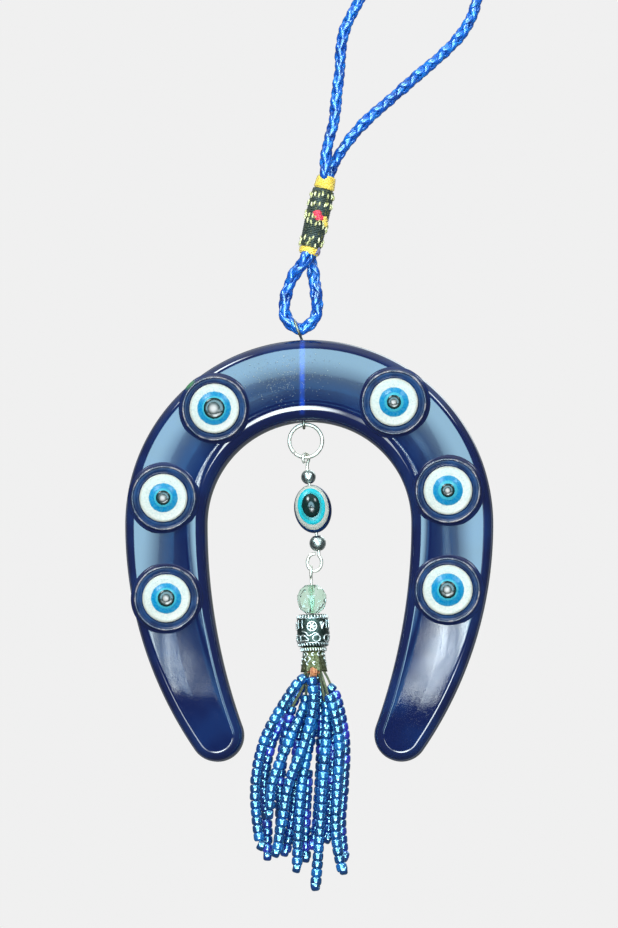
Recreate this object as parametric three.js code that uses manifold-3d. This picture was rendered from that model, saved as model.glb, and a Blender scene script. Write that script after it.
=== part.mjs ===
// Evil eye ornament: a resin horseshoe with six eye discs, hung on a braided cord,
// with a chain of a jump ring, an oval eye bead and a beaded tassel in its middle.
// Millimetres, +Z up, front towards -Y. The origin is the top of the hanging loop.
import * as THREE from "three";
import { mergeVertices } from "three/addons/utils/BufferGeometryUtils.js";
import Module from "manifold-3d";

const wasm = await Module();
wasm.setup();

// The top of the hanging loop, measured from the top of the horseshoe.
const LOOP_TOP = { x: 27.8, z: 87.5 };

// Cord and thread wrap
const CORD_R = 1.3;
const CORD_SIDES = 8;
const CORD_STEPS_LARGE = 36;
const CORD_STEPS_SMALL = 22;
const WRAP_LOWER = new THREE.Vector3(-0.1, 0, 18.7);
const WRAP_UPPER = new THREE.Vector3(3.9, 0, 35.9);
const BAND_UPPER = 2.9;
const BAND_LOWER = 1.5;
const WRAP_GAP = 0.05;
const WRAP_R = { lower: 2.25, middle: 2.6, upper: 2.05 };
const WRAP_BULGE_AT = 0.55;

// Horseshoe
const ARCH_Z = -40.4;
const ARCH_OUT = 40.2;
const ARCH_IN = 22.4;
const LEG_OUT = 87;
const LEG_IN = 130;
const TIP_R = 5.75;
const THICKNESS = 8;
const EDGE_BEVEL = 1.7;
const BORE_R = 0.7;
const BORE_TOP = new THREE.Vector3(-1.5, 0, 0);
const BORE_FOOT = new THREE.Vector3(-1.1, 0, -18);
const SEAT_R = 1.5;
const SEAT_TOP = -16.98;
const SEAT_FOOT = -19;

// Eye discs on the front of the horseshoe: centres from the top of the horseshoe
const EYES = {
  left_upper: [-20.4, -15.5],
  left_middle: [-31.5, -35.0],
  left_lower: [-30.8, -56.9],
  right_upper: [18.8, -14.3],
  right_middle: [30.5, -33.6],
  right_lower: [30.4, -55.2],
};
const FRONT_Y = -THICKNESS / 2;
const LAYER_GAP = 0.05;
const BOSS = { r: 7.25, height: 1.5, floor: 0.9, well: 5.55, edge: 0.6 };
const WHITE = { r: 5.3, height: 0.65 };
const IRIS = { r: 3.5, height: 0.25 };
const PUPIL = { r: 2.1, height: 0.45 };
const BOSS_SEGMENTS = 24;
const DISC_SEGMENTS = 16;
const DISC_TAPER = 0.97;

// Wires
const HANGER_WIRE_R = 0.3;
const RING_WIRE_R = 0.4;
const PIN_WIRE_R = 0.32;
const TASSEL_WIRE_R = 0.3;
const WIRE_SIDES = 6;
const HANGER_LOOP = { x: -2.05, z: 2.3, across: 1.8, along: 2.15, lean: 0.29 };
const HANGER_EYE = { x: -1.1, z: -18.55, r: 0.95, from: 50, to: -240, points: 10 };
const HANGER_STEM = [0.03, 0.3, 0.6, 0.9];
const RING = { x: -0.7, z: -22.3, r: 3.6, gapFrom: 222, gapTo: 232, points: 24 };

// A wire's loop starts beside its stem, goes over the top and comes down into the stem, in degrees.
const WIRE_LOOP = { from: 240, to: -50 };

// The eye pin of the oval bead leans: its line starts under the upper loop.
const PIN_START = new THREE.Vector3(-0.55, 0, -27.2);
const PIN_SLOPE = 0.14;
const PIN_HOLE_R = 0.6;
const PIN_EYE = { x: -0.7, z: -26.15, r: 1.05 };
const PIN_STEM = [-28.6, -34, -40, -46.3];
const PIN_LOOP = { x: 1.2, z: -48.9, rx: 1.55, rz: 1.9, from: 52, to: -262, points: 14 };
const SPACER_UPPER = { z: -30.2, r: 1.6 };
const SPACER_LOWER = { z: -44.7, r: 1.8 };
const OVAL = { z: -37.2, halfWidth: 4.1, halfHeight: 5.3, halfDepth: 2.7, flat: 2.0 };
const OVAL_EYE = { halfWidth: 2.68, halfHeight: 3.3, height: 0.6 };

// Tassel: its pin leans a little the same way.
const TASSEL_EYE = new THREE.Vector3(0.45, 0, -51.05);
const TASSEL_SLOPE = 0.03;
const TASSEL_EYE_SIZE = { across: 0.9, along: 1.3 };
const TASSEL_STEM = [-53.2, -58, -64, -68.9];
const TASSEL_HOLE_R = 0.65;
const GLASS = { z: -56.95, r: 3.2, half: 2.93 };
const BARREL = { top: -60.3, foot: -67.3, rim: 3.1, belly: 3.6 };
const CAP = { top: -67.6, foot: -72.8, shoulder: 2.6, mouth: 2.85, wall: 0.5 };
const KNOT = { top: -69.3, foot: -73.2, r: 1.9, neck: 0.9, shoulder: 0.8 };
const STRAND_R = 1.2;
const STRAND_SIDES = 8;
const STRAND_STEP = 3;

// The hanging loop's route, from the top of the wrap round the nail and back, from the origin.
const LARGE_LOOP = [
  [-24.1, -1.35, -50.9], [-24.1, -1.25, -48.1], [-23.4, -0.9, -43.8], [-22.3, -0.5, -39.6],
  [-21.9, -0.2, -35.7], [-21.5, 0, -31.8], [-21.0, 0, -28.0], [-20.8, 0, -23.7], [-19.9, 0, -19.1],
  [-16.9, 0, -13.0], [-14.8, 0, -9.1], [-10.7, 0, -3.9], [-5.7, 0, -1.0], [0, 0, 0],
  [4.9, 0, -1.3], [8.5, 0, -4.9], [9.8, 0, -9.8], [9.1, 0, -13.0], [7.8, 0, -16.9],
  [5.2, 0, -21.0], [1.3, 0, -25.0], [-4.2, 0, -29.7], [-9.9, 0.1, -34.7], [-14.9, 0.4, -39.0],
  [-18.2, 0.8, -42.5], [-20.6, 1.2, -45.7], [-22.6, 1.35, -49.0], [-23.3, 1.35, -50.9],
];

// The small loop's route under the wrap, from the origin.
const SMALL_LOOP = [
  [-28.4, -1.35, -69.8], [-29.7, -1.1, -71.6], [-31.2, -0.6, -73.6], [-32.3, -0.2, -76.1],
  [-33.0, 0, -78.6], [-33.2, 0, -80.9], [-32.7, 0, -82.9], [-31.4, 0, -84.4], [-29.7, 0, -85.2],
  [-27.9, 0, -84.4], [-26.5, 0, -82.8], [-26.0, 0, -80.4], [-26.2, 0, -77.9],
  [-26.5, 0.4, -75.4], [-26.9, 1.0, -72.9], [-27.4, 1.35, -69.9],
];

// Bead strands. Each row is height, sideways place and depth, from the top of the horseshoe.
const STRANDS = {
  front: [
    [[-75, -2.0, -2.65], [-80, -5.5, -2.65], [-88, -9.7, -2.65], [-97, -11.5, -2.65], [-106, -11.1, -2.65],
      [-111.5, -10.2, -2.65]],
    [[-77.8, -0.7, 0], [-80, -1.0, 0], [-88, -4.3, -1.9], [-97, -7.8, -2.65], [-104.7, -8.5, -2.65]],
    [[-74, 0.7, -2.65], [-80, 1.1, -2.65], [-88, -0.8, -2.65], [-97, -4.2, -2.65], [-106, -5.8, -2.65],
      [-113, -7.0, -2.65]],
    [[-81.8, 1.3, 0], [-88, 0.2, 0], [-97, -1.5, -1.3], [-106, -2.1, -2.65], [-116.3, -2.5, -2.65]],
    [[-79.1, 3.5, -0.3], [-81, 3.9, -0.3], [-88, 3.8, -2.65], [-97, 3.1, -2.65], [-106, 2.6, -2.65],
      [-120.2, 1.5, -2.65]],
    [[-77.8, 4.4, -2.65], [-80, 5.2, -2.65], [-88, 6.7, -2.65], [-97, 6.4, -2.65], [-106, 5.9, -2.65],
      [-111, 6.3, -2.65], [-116.7, 7.6, -2.65]],
  ],
  back: [
    [[-76.7, -2.2, 2.65], [-80, -4.0, 2.65], [-88, -8.2, 2.65], [-97, -9.9, 2.65], [-106, -9.3, 2.65],
      [-113.7, -9.2, 2.65]],
    [[-80.2, -3.7, 0], [-82.5, -4.3, 0.3], [-88, -5.5, 1.3], [-97, -6.4, 1.6], [-106, -6.3, 1.0],
      [-110.4, -6.8, 0.6]],
    [[-79, -0.3, 2.65], [-81, -0.8, 2.65], [-88, -2.6, 2.65], [-97, -3.0, 2.65], [-106, -4.1, 2.65],
      [-112.8, -5.4, 2.65]],
    [[-94, -0.4, 2.65], [-97, -0.45, 2.65], [-106, -0.9, 2.65], [-114.1, -0.8, 2.65]],
    [[-74.8, 2.2, 2.65], [-80, 2.4, 2.65], [-88, 2.5, 2.65], [-97, 2.2, 2.65], [-106, 1.6, 2.2],
      [-111.3, 0.8, 0.4]],
    [[-79.5, 5.0, 2.65], [-82, 5.1, 2.65], [-88, 5.1, 2.65], [-97, 4.8, 2.65], [-106, 4.2, 2.65],
      [-110, 3.9, 2.65]],
    [[-77.1, 5.4, 0], [-80, 6.4, 0], [-88, 7.8, 1.3], [-97, 7.5, 2.0], [-106, 6.9, 1.3],
      [-113.9, 7.7, 0.6]],
  ],
};

const finish = (color, roughness, metalness) =>
  new THREE.MeshStandardMaterial({ color, roughness, metalness });
const cordBlue = finish(0x0f5fd6, 0.5, 0);
const wrapGreen = finish(0x2c3a30, 0.7, 0);
const bandYellow = finish(0xf0c030, 0.6, 0);
const resinNavy = finish(0x182858, 0.15, 0);
const eyeWhite = finish(0xdfe8e2, 0.3, 0);
const irisBlue = finish(0x1a90d8, 0.3, 0);
const pupilBlack = finish(0x10181a, 0.15, 0);
const steel = finish(0xb8bcc0, 0.25, 1);
const antiqueSilver = finish(0x8a8f8a, 0.4, 1);
const glassGreen = finish(0xb4d8c4, 0.08, 0);
const seedBlue = finish(0x1060b0, 0.2, 0);
const threadBrown = finish(0x9a5a34, 0.8, 0);

const ornament = new THREE.Group();
const below = new THREE.Group();
below.position.set(-LOOP_TOP.x, 0, -LOOP_TOP.z);
ornament.add(below);

function place(parent, name, geometry, material) {
  const mesh = new THREE.Mesh(geometry, material);
  mesh.name = name;
  parent.add(mesh);
  return mesh;
}

// A round tube through the points, closed by flat ends.
function tube(points, radius, sides, steps) {
  const section = new THREE.Shape();
  for (let i = 0; i < sides; i += 1) {
    const angle = (2 * Math.PI * i) / sides;
    const x = radius * Math.cos(angle);
    const y = radius * Math.sin(angle);
    if (i === 0) {
      section.moveTo(x, y);
    } else {
      section.lineTo(x, y);
    }
  }
  section.closePath();
  const extrudePath = new THREE.CatmullRomCurve3(points, false, "centripetal");
  return new THREE.ExtrudeGeometry(section, { steps, extrudePath, bevelEnabled: false });
}

const vectors = (rows) => rows.map(([x, y, z]) => new THREE.Vector3(x, y, z));

// A body of revolution about Z from [radius, height] rows.
function turned(rows, segments) {
  const profile = rows.map(([r, h]) => new THREE.Vector2(r, h));
  const geometry = new THREE.LatheGeometry(profile, segments);
  geometry.rotateX(Math.PI / 2);
  return geometry;
}

// A bead of revolution with a hole: the outline runs from the foot to the top.
function drilled(outline, hole, segments) {
  const foot = outline[0][1];
  const top = outline[outline.length - 1][1];
  return turned([[hole, foot], ...outline, [hole, top], [hole, foot]], segments);
}

function toManifold(geometry) {
  const bare = geometry.clone();
  bare.deleteAttribute("normal");
  bare.deleteAttribute("uv");
  const welded = mergeVertices(bare, 1e-4);
  const vertProperties = new Float32Array(welded.attributes.position.array);
  const triVerts = new Uint32Array(welded.index.array);
  return new wasm.Manifold(new wasm.Mesh({ numProp: 3, vertProperties, triVerts }));
}

function toGeometry(solid) {
  const mesh = solid.getMesh();
  const geometry = new THREE.BufferGeometry();
  geometry.setAttribute("position", new THREE.BufferAttribute(mesh.vertProperties, 3));
  geometry.setIndex(new THREE.BufferAttribute(mesh.triVerts, 1));
  return geometry;
}

function cutFrom(geometry, ...cutters) {
  let solid = toManifold(geometry);
  for (const cutter of cutters) {
    solid = solid.subtract(toManifold(cutter));
  }
  return toGeometry(solid);
}

// A cylinder between two points.
function rod(from, to, radius, sides) {
  const axis = to.clone().sub(from);
  const geometry = new THREE.CylinderGeometry(radius, radius, axis.length(), sides);
  geometry.applyQuaternion(
    new THREE.Quaternion().setFromUnitVectors(new THREE.Vector3(0, 1, 0), axis.clone().normalize()),
  );
  const middle = from.clone().add(to).multiplyScalar(0.5);
  geometry.translate(middle.x, middle.y, middle.z);
  return geometry;
}

const vector = (x, y, z) => new THREE.Vector3(x, y, z);

// Points round an ellipse with half axes across and along, in degrees.
function arcPoints(centre, across, along, fromDeg, toDeg, count) {
  return Array.from({ length: count }, (_, i) => {
    const angle = THREE.MathUtils.degToRad(fromDeg + ((toDeg - fromDeg) * i) / (count - 1));
    return centre
      .clone()
      .addScaledVector(across, Math.cos(angle))
      .addScaledVector(along, Math.sin(angle));
  });
}

// The cords, and the wrap that ties their four ends together.
function makeCords() {
  const large = tube(vectors(LARGE_LOOP), CORD_R, CORD_SIDES, CORD_STEPS_LARGE);
  const small = tube(vectors(SMALL_LOOP), CORD_R, CORD_SIDES, CORD_STEPS_SMALL);
  place(ornament, "hanging_loop_cord", large, cordBlue);
  place(ornament, "small_loop_cord", small, cordBlue);
}

function makeWrap() {
  const axis = WRAP_UPPER.clone().sub(WRAP_LOWER);
  const length = axis.length();
  const radiusAt = (h) => {
    const t = h / length;
    const near = t < WRAP_BULGE_AT ? WRAP_R.lower : WRAP_R.upper;
    const span = t < WRAP_BULGE_AT ? t / WRAP_BULGE_AT : (1 - t) / (1 - WRAP_BULGE_AT);
    return THREE.MathUtils.lerp(near, WRAP_R.middle, Math.sin((span * Math.PI) / 2));
  };
  const piece = (name, from, to, rings, material) => {
    const outline = Array.from({ length: rings }, (_, i) => {
      const h = THREE.MathUtils.lerp(from, to, i / (rings - 1));
      return [radiusAt(h), h];
    });
    const mesh = place(below, name, turned([[0, from], ...outline, [0, to]], 16), material);
    mesh.position.copy(WRAP_LOWER);
    mesh.quaternion.setFromUnitVectors(new THREE.Vector3(0, 0, 1), axis.clone().normalize());
  };
  piece("wrap_band_lower", 0, BAND_LOWER, 2, bandYellow);
  piece("wrap_sleeve", BAND_LOWER + WRAP_GAP, length - BAND_UPPER - WRAP_GAP, 7, wrapGreen);
  piece("wrap_band_upper", length - BAND_UPPER, length, 3, bandYellow);
}

// Centre of the round tip of the right leg: it touches the outer and inner leg arcs.
function legTip() {
  const outer = LEG_OUT - TIP_R;
  const inner = LEG_IN + TIP_R;
  const spread = LEG_IN - ARCH_IN - (LEG_OUT - ARCH_OUT);
  const along = (inner * inner - outer * outer - spread * spread) / (2 * spread);
  const down = Math.sqrt(outer * outer - along * along);
  return { x: along - (LEG_OUT - ARCH_OUT), z: ARCH_Z - down, down };
}

function horseshoeOutline() {
  const tip = legTip();
  const outerCentre = LEG_OUT - ARCH_OUT;
  const innerCentre = LEG_IN - ARCH_IN;
  const outerEnd = Math.asin(tip.down / (LEG_OUT - TIP_R));
  const innerEnd = Math.asin(tip.down / (LEG_IN + TIP_R));
  const outline = new THREE.Shape();
  outline.absarc(0, ARCH_Z, ARCH_OUT, 0, Math.PI, false);
  outline.absarc(outerCentre, ARCH_Z, LEG_OUT, Math.PI, Math.PI + outerEnd, false);
  outline.absarc(-tip.x, tip.z, TIP_R, Math.PI + outerEnd, 2 * Math.PI + innerEnd, false);
  outline.absarc(innerCentre, ARCH_Z, LEG_IN, Math.PI + innerEnd, Math.PI, true);
  outline.absarc(0, ARCH_Z, ARCH_IN, Math.PI, 0, true);
  outline.absarc(-innerCentre, ARCH_Z, LEG_IN, 0, -innerEnd, true);
  outline.absarc(tip.x, tip.z, TIP_R, Math.PI - innerEnd, 2 * Math.PI - outerEnd, false);
  outline.absarc(-outerCentre, ARCH_Z, LEG_OUT, -outerEnd, 0, false);
  return outline;
}

function makeHorseshoe() {
  const body = new THREE.ExtrudeGeometry(horseshoeOutline(), {
    depth: THICKNESS - 2 * EDGE_BEVEL,
    bevelThickness: EDGE_BEVEL,
    bevelSize: EDGE_BEVEL,
    bevelOffset: -EDGE_BEVEL,
    bevelSegments: 2,
    curveSegments: 8,
  });
  body.rotateX(Math.PI / 2);
  body.translate(0, THICKNESS / 2 - EDGE_BEVEL, 0);
  const line = BORE_FOOT.clone().sub(BORE_TOP);
  const past = line.clone().multiplyScalar(0.1);
  const bore = rod(BORE_TOP.clone().sub(past), BORE_FOOT.clone().add(past), BORE_R, 12);
  const seat = rod(vector(BORE_FOOT.x, 0, SEAT_TOP), vector(BORE_FOOT.x, 0, SEAT_FOOT), SEAT_R, 16);
  place(below, "horseshoe", cutFrom(body, bore, seat), resinNavy);
}

// One eye disc: a navy boss with a well, and a white disc, an iris and a pupil stacked in it.
function makeEye(name, x, z) {
  const eye = new THREE.Group();
  eye.position.set(x, FRONT_Y - LAYER_GAP, z);
  eye.rotation.x = Math.PI / 2;
  below.add(eye);
  const { r, height, floor, well, edge } = BOSS;
  const boss = [[0, 0], [r, 0], [r, height - edge], [r - edge * 0.3, height - edge * 0.3], [r - edge, height],
    [well, height], [well, floor], [0, floor]];
  place(eye, `eye_boss_${name}`, turned(boss, BOSS_SEGMENTS), resinNavy);
  let foot = floor + LAYER_GAP;
  const layers = [["white", WHITE, eyeWhite], ["iris", IRIS, irisBlue], ["pupil", PUPIL, pupilBlack]];
  for (const [layer, size, material] of layers) {
    const top = foot + size.height;
    const disc = [[0, foot], [size.r, foot], [size.r * DISC_TAPER, top], [0, top]];
    place(eye, `eye_${layer}_${name}`, turned(disc, DISC_SEGMENTS), material);
    foot = top + LAYER_GAP;
  }
}

// A loop of wire above a stem, in the plane that the stem and the front direction share.
function wireLoop(centre, across, up, points) {
  return arcPoints(centre, vector(0, across, 0), up, WIRE_LOOP.from, WIRE_LOOP.to, points);
}

// The wire that loops round the small cord loop, runs down the bore and ends in an eye under the arch.
function makeHangerWire() {
  const { x, z, across, along, lean } = HANGER_LOOP;
  const up = vector(-Math.sin(lean), 0, Math.cos(lean)).multiplyScalar(along);
  const loop = wireLoop(vector(x, 0, z), across, up, 12);
  const line = BORE_FOOT.clone().sub(BORE_TOP);
  const stem = HANGER_STEM.map((t) => BORE_TOP.clone().addScaledVector(line, t));
  const { r, from, to, points } = HANGER_EYE;
  const eyeCentre = vector(HANGER_EYE.x, 0, HANGER_EYE.z);
  const eye = arcPoints(eyeCentre, vector(0, r, 0), vector(0, 0, r), from, to, points);
  place(below, "hanger_wire", tube([...loop, ...stem, ...eye], HANGER_WIRE_R, WIRE_SIDES, 56), steel);
}

function makeJumpRing() {
  const { x, z, r, gapFrom, gapTo } = RING;
  const gapEnd = gapFrom + 360;
  const points = arcPoints(vector(x, 0, z), vector(r, 0, 0), vector(0, 0, r), gapTo, gapEnd, RING.points);
  place(below, "jump_ring", tube(points, RING_WIRE_R, 8, 30), steel);
}

const onPin = (z) => new THREE.Vector3(PIN_START.x + PIN_SLOPE * (PIN_START.z - z), 0, z);
const onTasselPin = (z) => new THREE.Vector3(TASSEL_EYE.x + TASSEL_SLOPE * (TASSEL_EYE.z - z), 0, z);

function makeEyePin() {
  const upper = wireLoop(vector(PIN_EYE.x, 0, PIN_EYE.z), PIN_EYE.r, vector(0, 0, PIN_EYE.r), 10);
  const stem = PIN_STEM.map(onPin);
  const { x, z, rx, rz, from, to, points } = PIN_LOOP;
  const lower = arcPoints(vector(x, 0, z), vector(rx, 0, 0), vector(0, 0, rz), from, to, points);
  place(below, "eye_pin", tube([...upper, ...stem, ...lower], PIN_WIRE_R, WIRE_SIDES, 62), steel);
}

// Puts a bead that was made about its own centre on a leaning pin.
function threadOn(mesh, centre, slope) {
  mesh.position.copy(centre);
  mesh.rotation.y = -Math.atan(slope);
}

function roundOutline(r, half, rings) {
  const reach = Math.asin(half / r);
  return Array.from({ length: rings }, (_, i) => {
    const angle = THREE.MathUtils.lerp(-reach, reach, i / (rings - 1));
    return [r * Math.cos(angle), r * Math.sin(angle)];
  });
}

function makeSpacer(name, { z, r }) {
  const outline = roundOutline(r, r * 0.9, 7);
  threadOn(place(below, name, drilled(outline, PIN_HOLE_R, 14), steel), onPin(z), PIN_SLOPE);
}

function makeOvalBead() {
  const { z, halfWidth, halfHeight, halfDepth, flat } = OVAL;
  const ball = new THREE.SphereGeometry(1, 20, 12);
  ball.scale(halfWidth, halfHeight, halfDepth);
  ball.rotateX(Math.PI / 2);
  const past = halfHeight + 1;
  const hole = rod(vector(0, 0, -past), vector(0, 0, past), PIN_HOLE_R, 10);
  const slab = new THREE.BoxGeometry(4 * halfWidth, 2 * flat, 4 * halfHeight);
  const front = slab.clone().translate(0, -2 * flat, 0);
  const back = slab.clone().translate(0, 2 * flat, 0);
  const bead = new THREE.Group();
  threadOn(bead, onPin(z), PIN_SLOPE);
  below.add(bead);
  place(bead, "oval_bead", cutFrom(ball, hole, front, back), resinNavy);
  for (const [side, turn] of [["front", 1], ["back", -1]]) {
    const eye = turned([[0, 0], [1, 0], [0.75, 0.7], [0.4, 0.95], [0, 1]], 20);
    eye.rotateX((turn * Math.PI) / 2);
    eye.scale(OVAL_EYE.halfWidth, OVAL_EYE.height, OVAL_EYE.halfHeight);
    eye.translate(0, -turn * (flat + LAYER_GAP), 0);
    place(bead, `oval_bead_eye_${side}`, eye, eyeWhite);
  }
}

function makeTasselPin() {
  const eye = wireLoop(TASSEL_EYE, TASSEL_EYE_SIZE.across, vector(0, 0, TASSEL_EYE_SIZE.along), 10);
  const stem = TASSEL_STEM.map(onTasselPin);
  place(below, "tassel_pin", tube([...eye, ...stem], TASSEL_WIRE_R, WIRE_SIDES, 36), steel);
}

function makeTasselHead() {
  const glass = drilled(roundOutline(GLASS.r, GLASS.half, 6), TASSEL_HOLE_R, 10);
  threadOn(place(below, "glass_bead", glass, glassGreen), onTasselPin(GLASS.z), TASSEL_SLOPE);

  const half = (BARREL.top - BARREL.foot) / 2;
  const barrel = [[BARREL.rim, -half], [BARREL.rim, -half * 0.8], [BARREL.belly, -half * 0.5],
    [BARREL.belly, half * 0.5], [BARREL.rim, half * 0.8], [BARREL.rim, half]];
  const barrelMesh = place(below, "barrel_bead", drilled(barrel, TASSEL_HOLE_R, 20), antiqueSilver);
  threadOn(barrelMesh, onTasselPin((BARREL.top + BARREL.foot) / 2), TASSEL_SLOPE);

  const depth = CAP.top - CAP.foot;
  const cap = [[TASSEL_HOLE_R, 0], [TASSEL_HOLE_R, -CAP.wall], [CAP.shoulder - CAP.wall, -CAP.wall],
    [CAP.mouth - CAP.wall, -depth], [CAP.mouth, -depth], [CAP.shoulder, 0], [TASSEL_HOLE_R, 0]];
  threadOn(place(below, "bead_cap", turned(cap, 18), antiqueSilver), onTasselPin(CAP.top), TASSEL_SLOPE);

  const knotHeight = KNOT.top - KNOT.foot;
  const knot = [[0, -knotHeight], [KNOT.r, -knotHeight], [KNOT.r, -KNOT.shoulder], [KNOT.neck, 0], [0, 0]];
  threadOn(place(below, "tassel_knot", turned(knot, 12), threadBrown), onTasselPin(KNOT.top), TASSEL_SLOPE);
}

function makeStrands() {
  let number = 0;
  for (const rows of [...STRANDS.front, ...STRANDS.back]) {
    number += 1;
    const name = `bead_strand_${String(number).padStart(2, "0")}`;
    const points = rows.map(([z, x, y]) => new THREE.Vector3(x, y, z));
    const drop = rows[0][0] - rows[rows.length - 1][0];
    place(below, name, tube(points, STRAND_R, STRAND_SIDES, Math.ceil(drop / STRAND_STEP)), seedBlue);
  }
}

makeCords();
makeWrap();
makeHorseshoe();
for (const [name, [x, z]] of Object.entries(EYES)) {
  makeEye(name, x, z);
}
makeHangerWire();
makeJumpRing();
makeEyePin();
makeSpacer("upper_spacer_bead", SPACER_UPPER);
makeOvalBead();
makeSpacer("lower_spacer_bead", SPACER_LOWER);
makeTasselPin();
makeTasselHead();
makeStrands();

export default ornament;
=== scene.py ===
"""The looks of a hanging evil eye ornament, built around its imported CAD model.

Shapes are made in millimetres from the top of the horseshoe, front towards -Y, and Solid.piece
moves them to the row frame. Each piece rides on a CAD body and stands for its plain CAD solid.
"""
import math
import random

import bmesh
import bpy
import numpy as np
from mathutils import Matrix, Vector


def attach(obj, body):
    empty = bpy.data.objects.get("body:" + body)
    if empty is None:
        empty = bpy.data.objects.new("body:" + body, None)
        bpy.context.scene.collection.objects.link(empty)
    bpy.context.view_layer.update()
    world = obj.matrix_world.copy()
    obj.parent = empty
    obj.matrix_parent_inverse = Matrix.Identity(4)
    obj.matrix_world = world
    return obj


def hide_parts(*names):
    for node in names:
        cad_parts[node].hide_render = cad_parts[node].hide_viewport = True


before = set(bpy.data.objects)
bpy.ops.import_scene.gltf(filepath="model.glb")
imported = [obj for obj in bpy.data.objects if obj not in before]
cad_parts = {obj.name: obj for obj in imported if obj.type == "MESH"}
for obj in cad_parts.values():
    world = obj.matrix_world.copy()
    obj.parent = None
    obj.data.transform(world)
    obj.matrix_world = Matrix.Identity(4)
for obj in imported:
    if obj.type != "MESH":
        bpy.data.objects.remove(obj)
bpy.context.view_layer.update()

MM = 0.001
HORSESHOE_TOP = np.array([-27.8, 0.0, -87.5])

# Camera
LENS = 200
SENSOR = 36
VIEW_HEIGHT = 202.9
VIEW_CENTRE = np.array([0.0, 0.0, -27.35])
VIEW_AZIMUTH = math.radians(3)
VIEW_ELEVATION = math.radians(-4)

# Cord and wrap, as in the CAD model
LARGE_LOOP = [
    (-24.1, -1.35, -50.9), (-24.1, -1.25, -48.1), (-23.4, -0.9, -43.8), (-22.3, -0.5, -39.6),
    (-21.9, -0.2, -35.7), (-21.5, 0, -31.8), (-21.0, 0, -28.0), (-20.8, 0, -23.7), (-19.9, 0, -19.1),
    (-16.9, 0, -13.0), (-14.8, 0, -9.1), (-10.7, 0, -3.9), (-5.7, 0, -1.0), (0, 0, 0),
    (4.9, 0, -1.3), (8.5, 0, -4.9), (9.8, 0, -9.8), (9.1, 0, -13.0), (7.8, 0, -16.9),
    (5.2, 0, -21.0), (1.3, 0, -25.0), (-4.2, 0, -29.7), (-9.9, 0.1, -34.7), (-14.9, 0.4, -39.0),
    (-18.2, 0.8, -42.5), (-20.6, 1.2, -45.7), (-22.6, 1.35, -49.0), (-23.3, 1.35, -50.9),
]
SMALL_LOOP = [
    (-28.4, -1.35, -69.8), (-29.7, -1.1, -71.6), (-31.2, -0.6, -73.6), (-32.3, -0.2, -76.1),
    (-33.0, 0, -78.6), (-33.2, 0, -80.9), (-32.7, 0, -82.9), (-31.4, 0, -84.4), (-29.7, 0, -85.2),
    (-27.9, 0, -84.4), (-26.5, 0, -82.8), (-26.0, 0, -80.4), (-26.2, 0, -77.9),
    (-26.5, 0.4, -75.4), (-26.9, 1.0, -72.9), (-27.4, 1.35, -69.9),
]
WRAP_LOWER = np.array([-0.1, 0.0, 18.7])
WRAP_UPPER = np.array([3.9, 0.0, 35.9])
WRAP_R = {"lower": 2.25, "middle": 2.6, "upper": 2.05}
WRAP_BULGE_AT = 0.55
BAND_UPPER = 2.9
BAND_LOWER = 1.5

# Horseshoe
ARCH_Z = -40.4
ARCH_OUT = 40.2
ARCH_IN = 22.4
LEG_OUT = 87.0
LEG_IN = 130.0
TIP_R = 5.75
BACK_Y = 4.0
FRONT_Y = -4.0
NICK = {"angle": math.radians(130.6), "depth": 0.9, "width": 0.55}
# Where the painted glow of the bore runs: its x, half width and foot.
BORE = {"x": -1.3, "half_width": 0.85, "foot": -17.2}
# The front: an edge rounded over a width and depth, then a slow slope that fades out at a reach inward
ROUND_STEPS = 14
ROUND_TURN = math.radians(81)
OUTER_EDGE = {"width": 2.1, "depth": 2.6, "slope": math.radians(8), "reach": 11.0, "fade": 2.4}
INNER_EDGE = {"width": 2.4, "depth": 2.2, "slope": math.radians(11), "reach": 4.6, "fade": 2.0}
TIP_SHARE = {"room": 0.42, "slope": 0.12}

# Each eye's centre, and the radii of its white, blue, cyan and black rings and of the grey painted highlight
# on its pupil
EYES = {
    "left_upper": (-20.4, -15.5, (5.4, 3.6, 2.8, 2.3, 1.4)),
    "left_middle": (-31.5, -35.0, (5.2, 3.1, 2.15, 1.6, 0.95)),
    "left_lower": (-30.8, -56.9, (5.2, 3.25, 2.4, 1.85, 0.95)),
    "right_upper": (18.8, -14.3, (5.2, 3.15, 2.2, 1.55, 0.8)),
    "right_middle": (30.5, -33.6, (5.25, 3.2, 2.25, 1.5, 0.8)),
    "right_lower": (30.4, -55.2, (5.4, 3.5, 2.45, 1.9, 1.0)),
}

# Wires: their loops' centres and half sizes
HANGER_WIRE_R = 0.3
HANGER_LOOP = {"centre": (-2.5, 0, 2.3), "across": 1.8, "along": 2.15, "lean": 0.38}
HANGER_EYE = {"centre": (-1.1, 0, -18.55), "r": 0.95}
RING = {"centre": (-0.7, 0, -22.3), "r": 3.6, "wire_r": 0.43}
PIN_WIRE_R = 0.35
PIN_EYE = {"centre": (-0.7, 0, -26.15), "lean": 0.6, "across": 0.86, "along": 1.05}
PIN_LOOP = {"centre": (1.2, 0, -48.9), "across": 1.55, "along": 1.9}
TASSEL_WIRE_R = 0.3
TASSEL_LOOP = {"across": 0.9, "along": 1.3}

# Beads on the two pins, each pin from its start and leaning by its slope
PIN_START = (-0.55, -27.2)
PIN_SLOPE = 0.14
TASSEL_EYE = (0.45, -51.05)
TASSEL_SLOPE = 0.03
SPACERS = {"upper_spacer": (-30.2, 1.6), "lower_spacer": (-44.7, 1.8)}
OVAL = {"z": -37.2, "width": 4.1, "height": 5.3, "depth": 2.45}
GLASS_Z = -56.95
BARREL = {"z": -63.8, "half": 3.5, "r": 3.5, "taper": 0.42, "hole_r": 0.62}
CAP = {"top": -67.45, "depth": 5.35, "collar": 0.95, "collar_r": 2.72, "waist_r": 2.3, "flare": 0.6}

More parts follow.
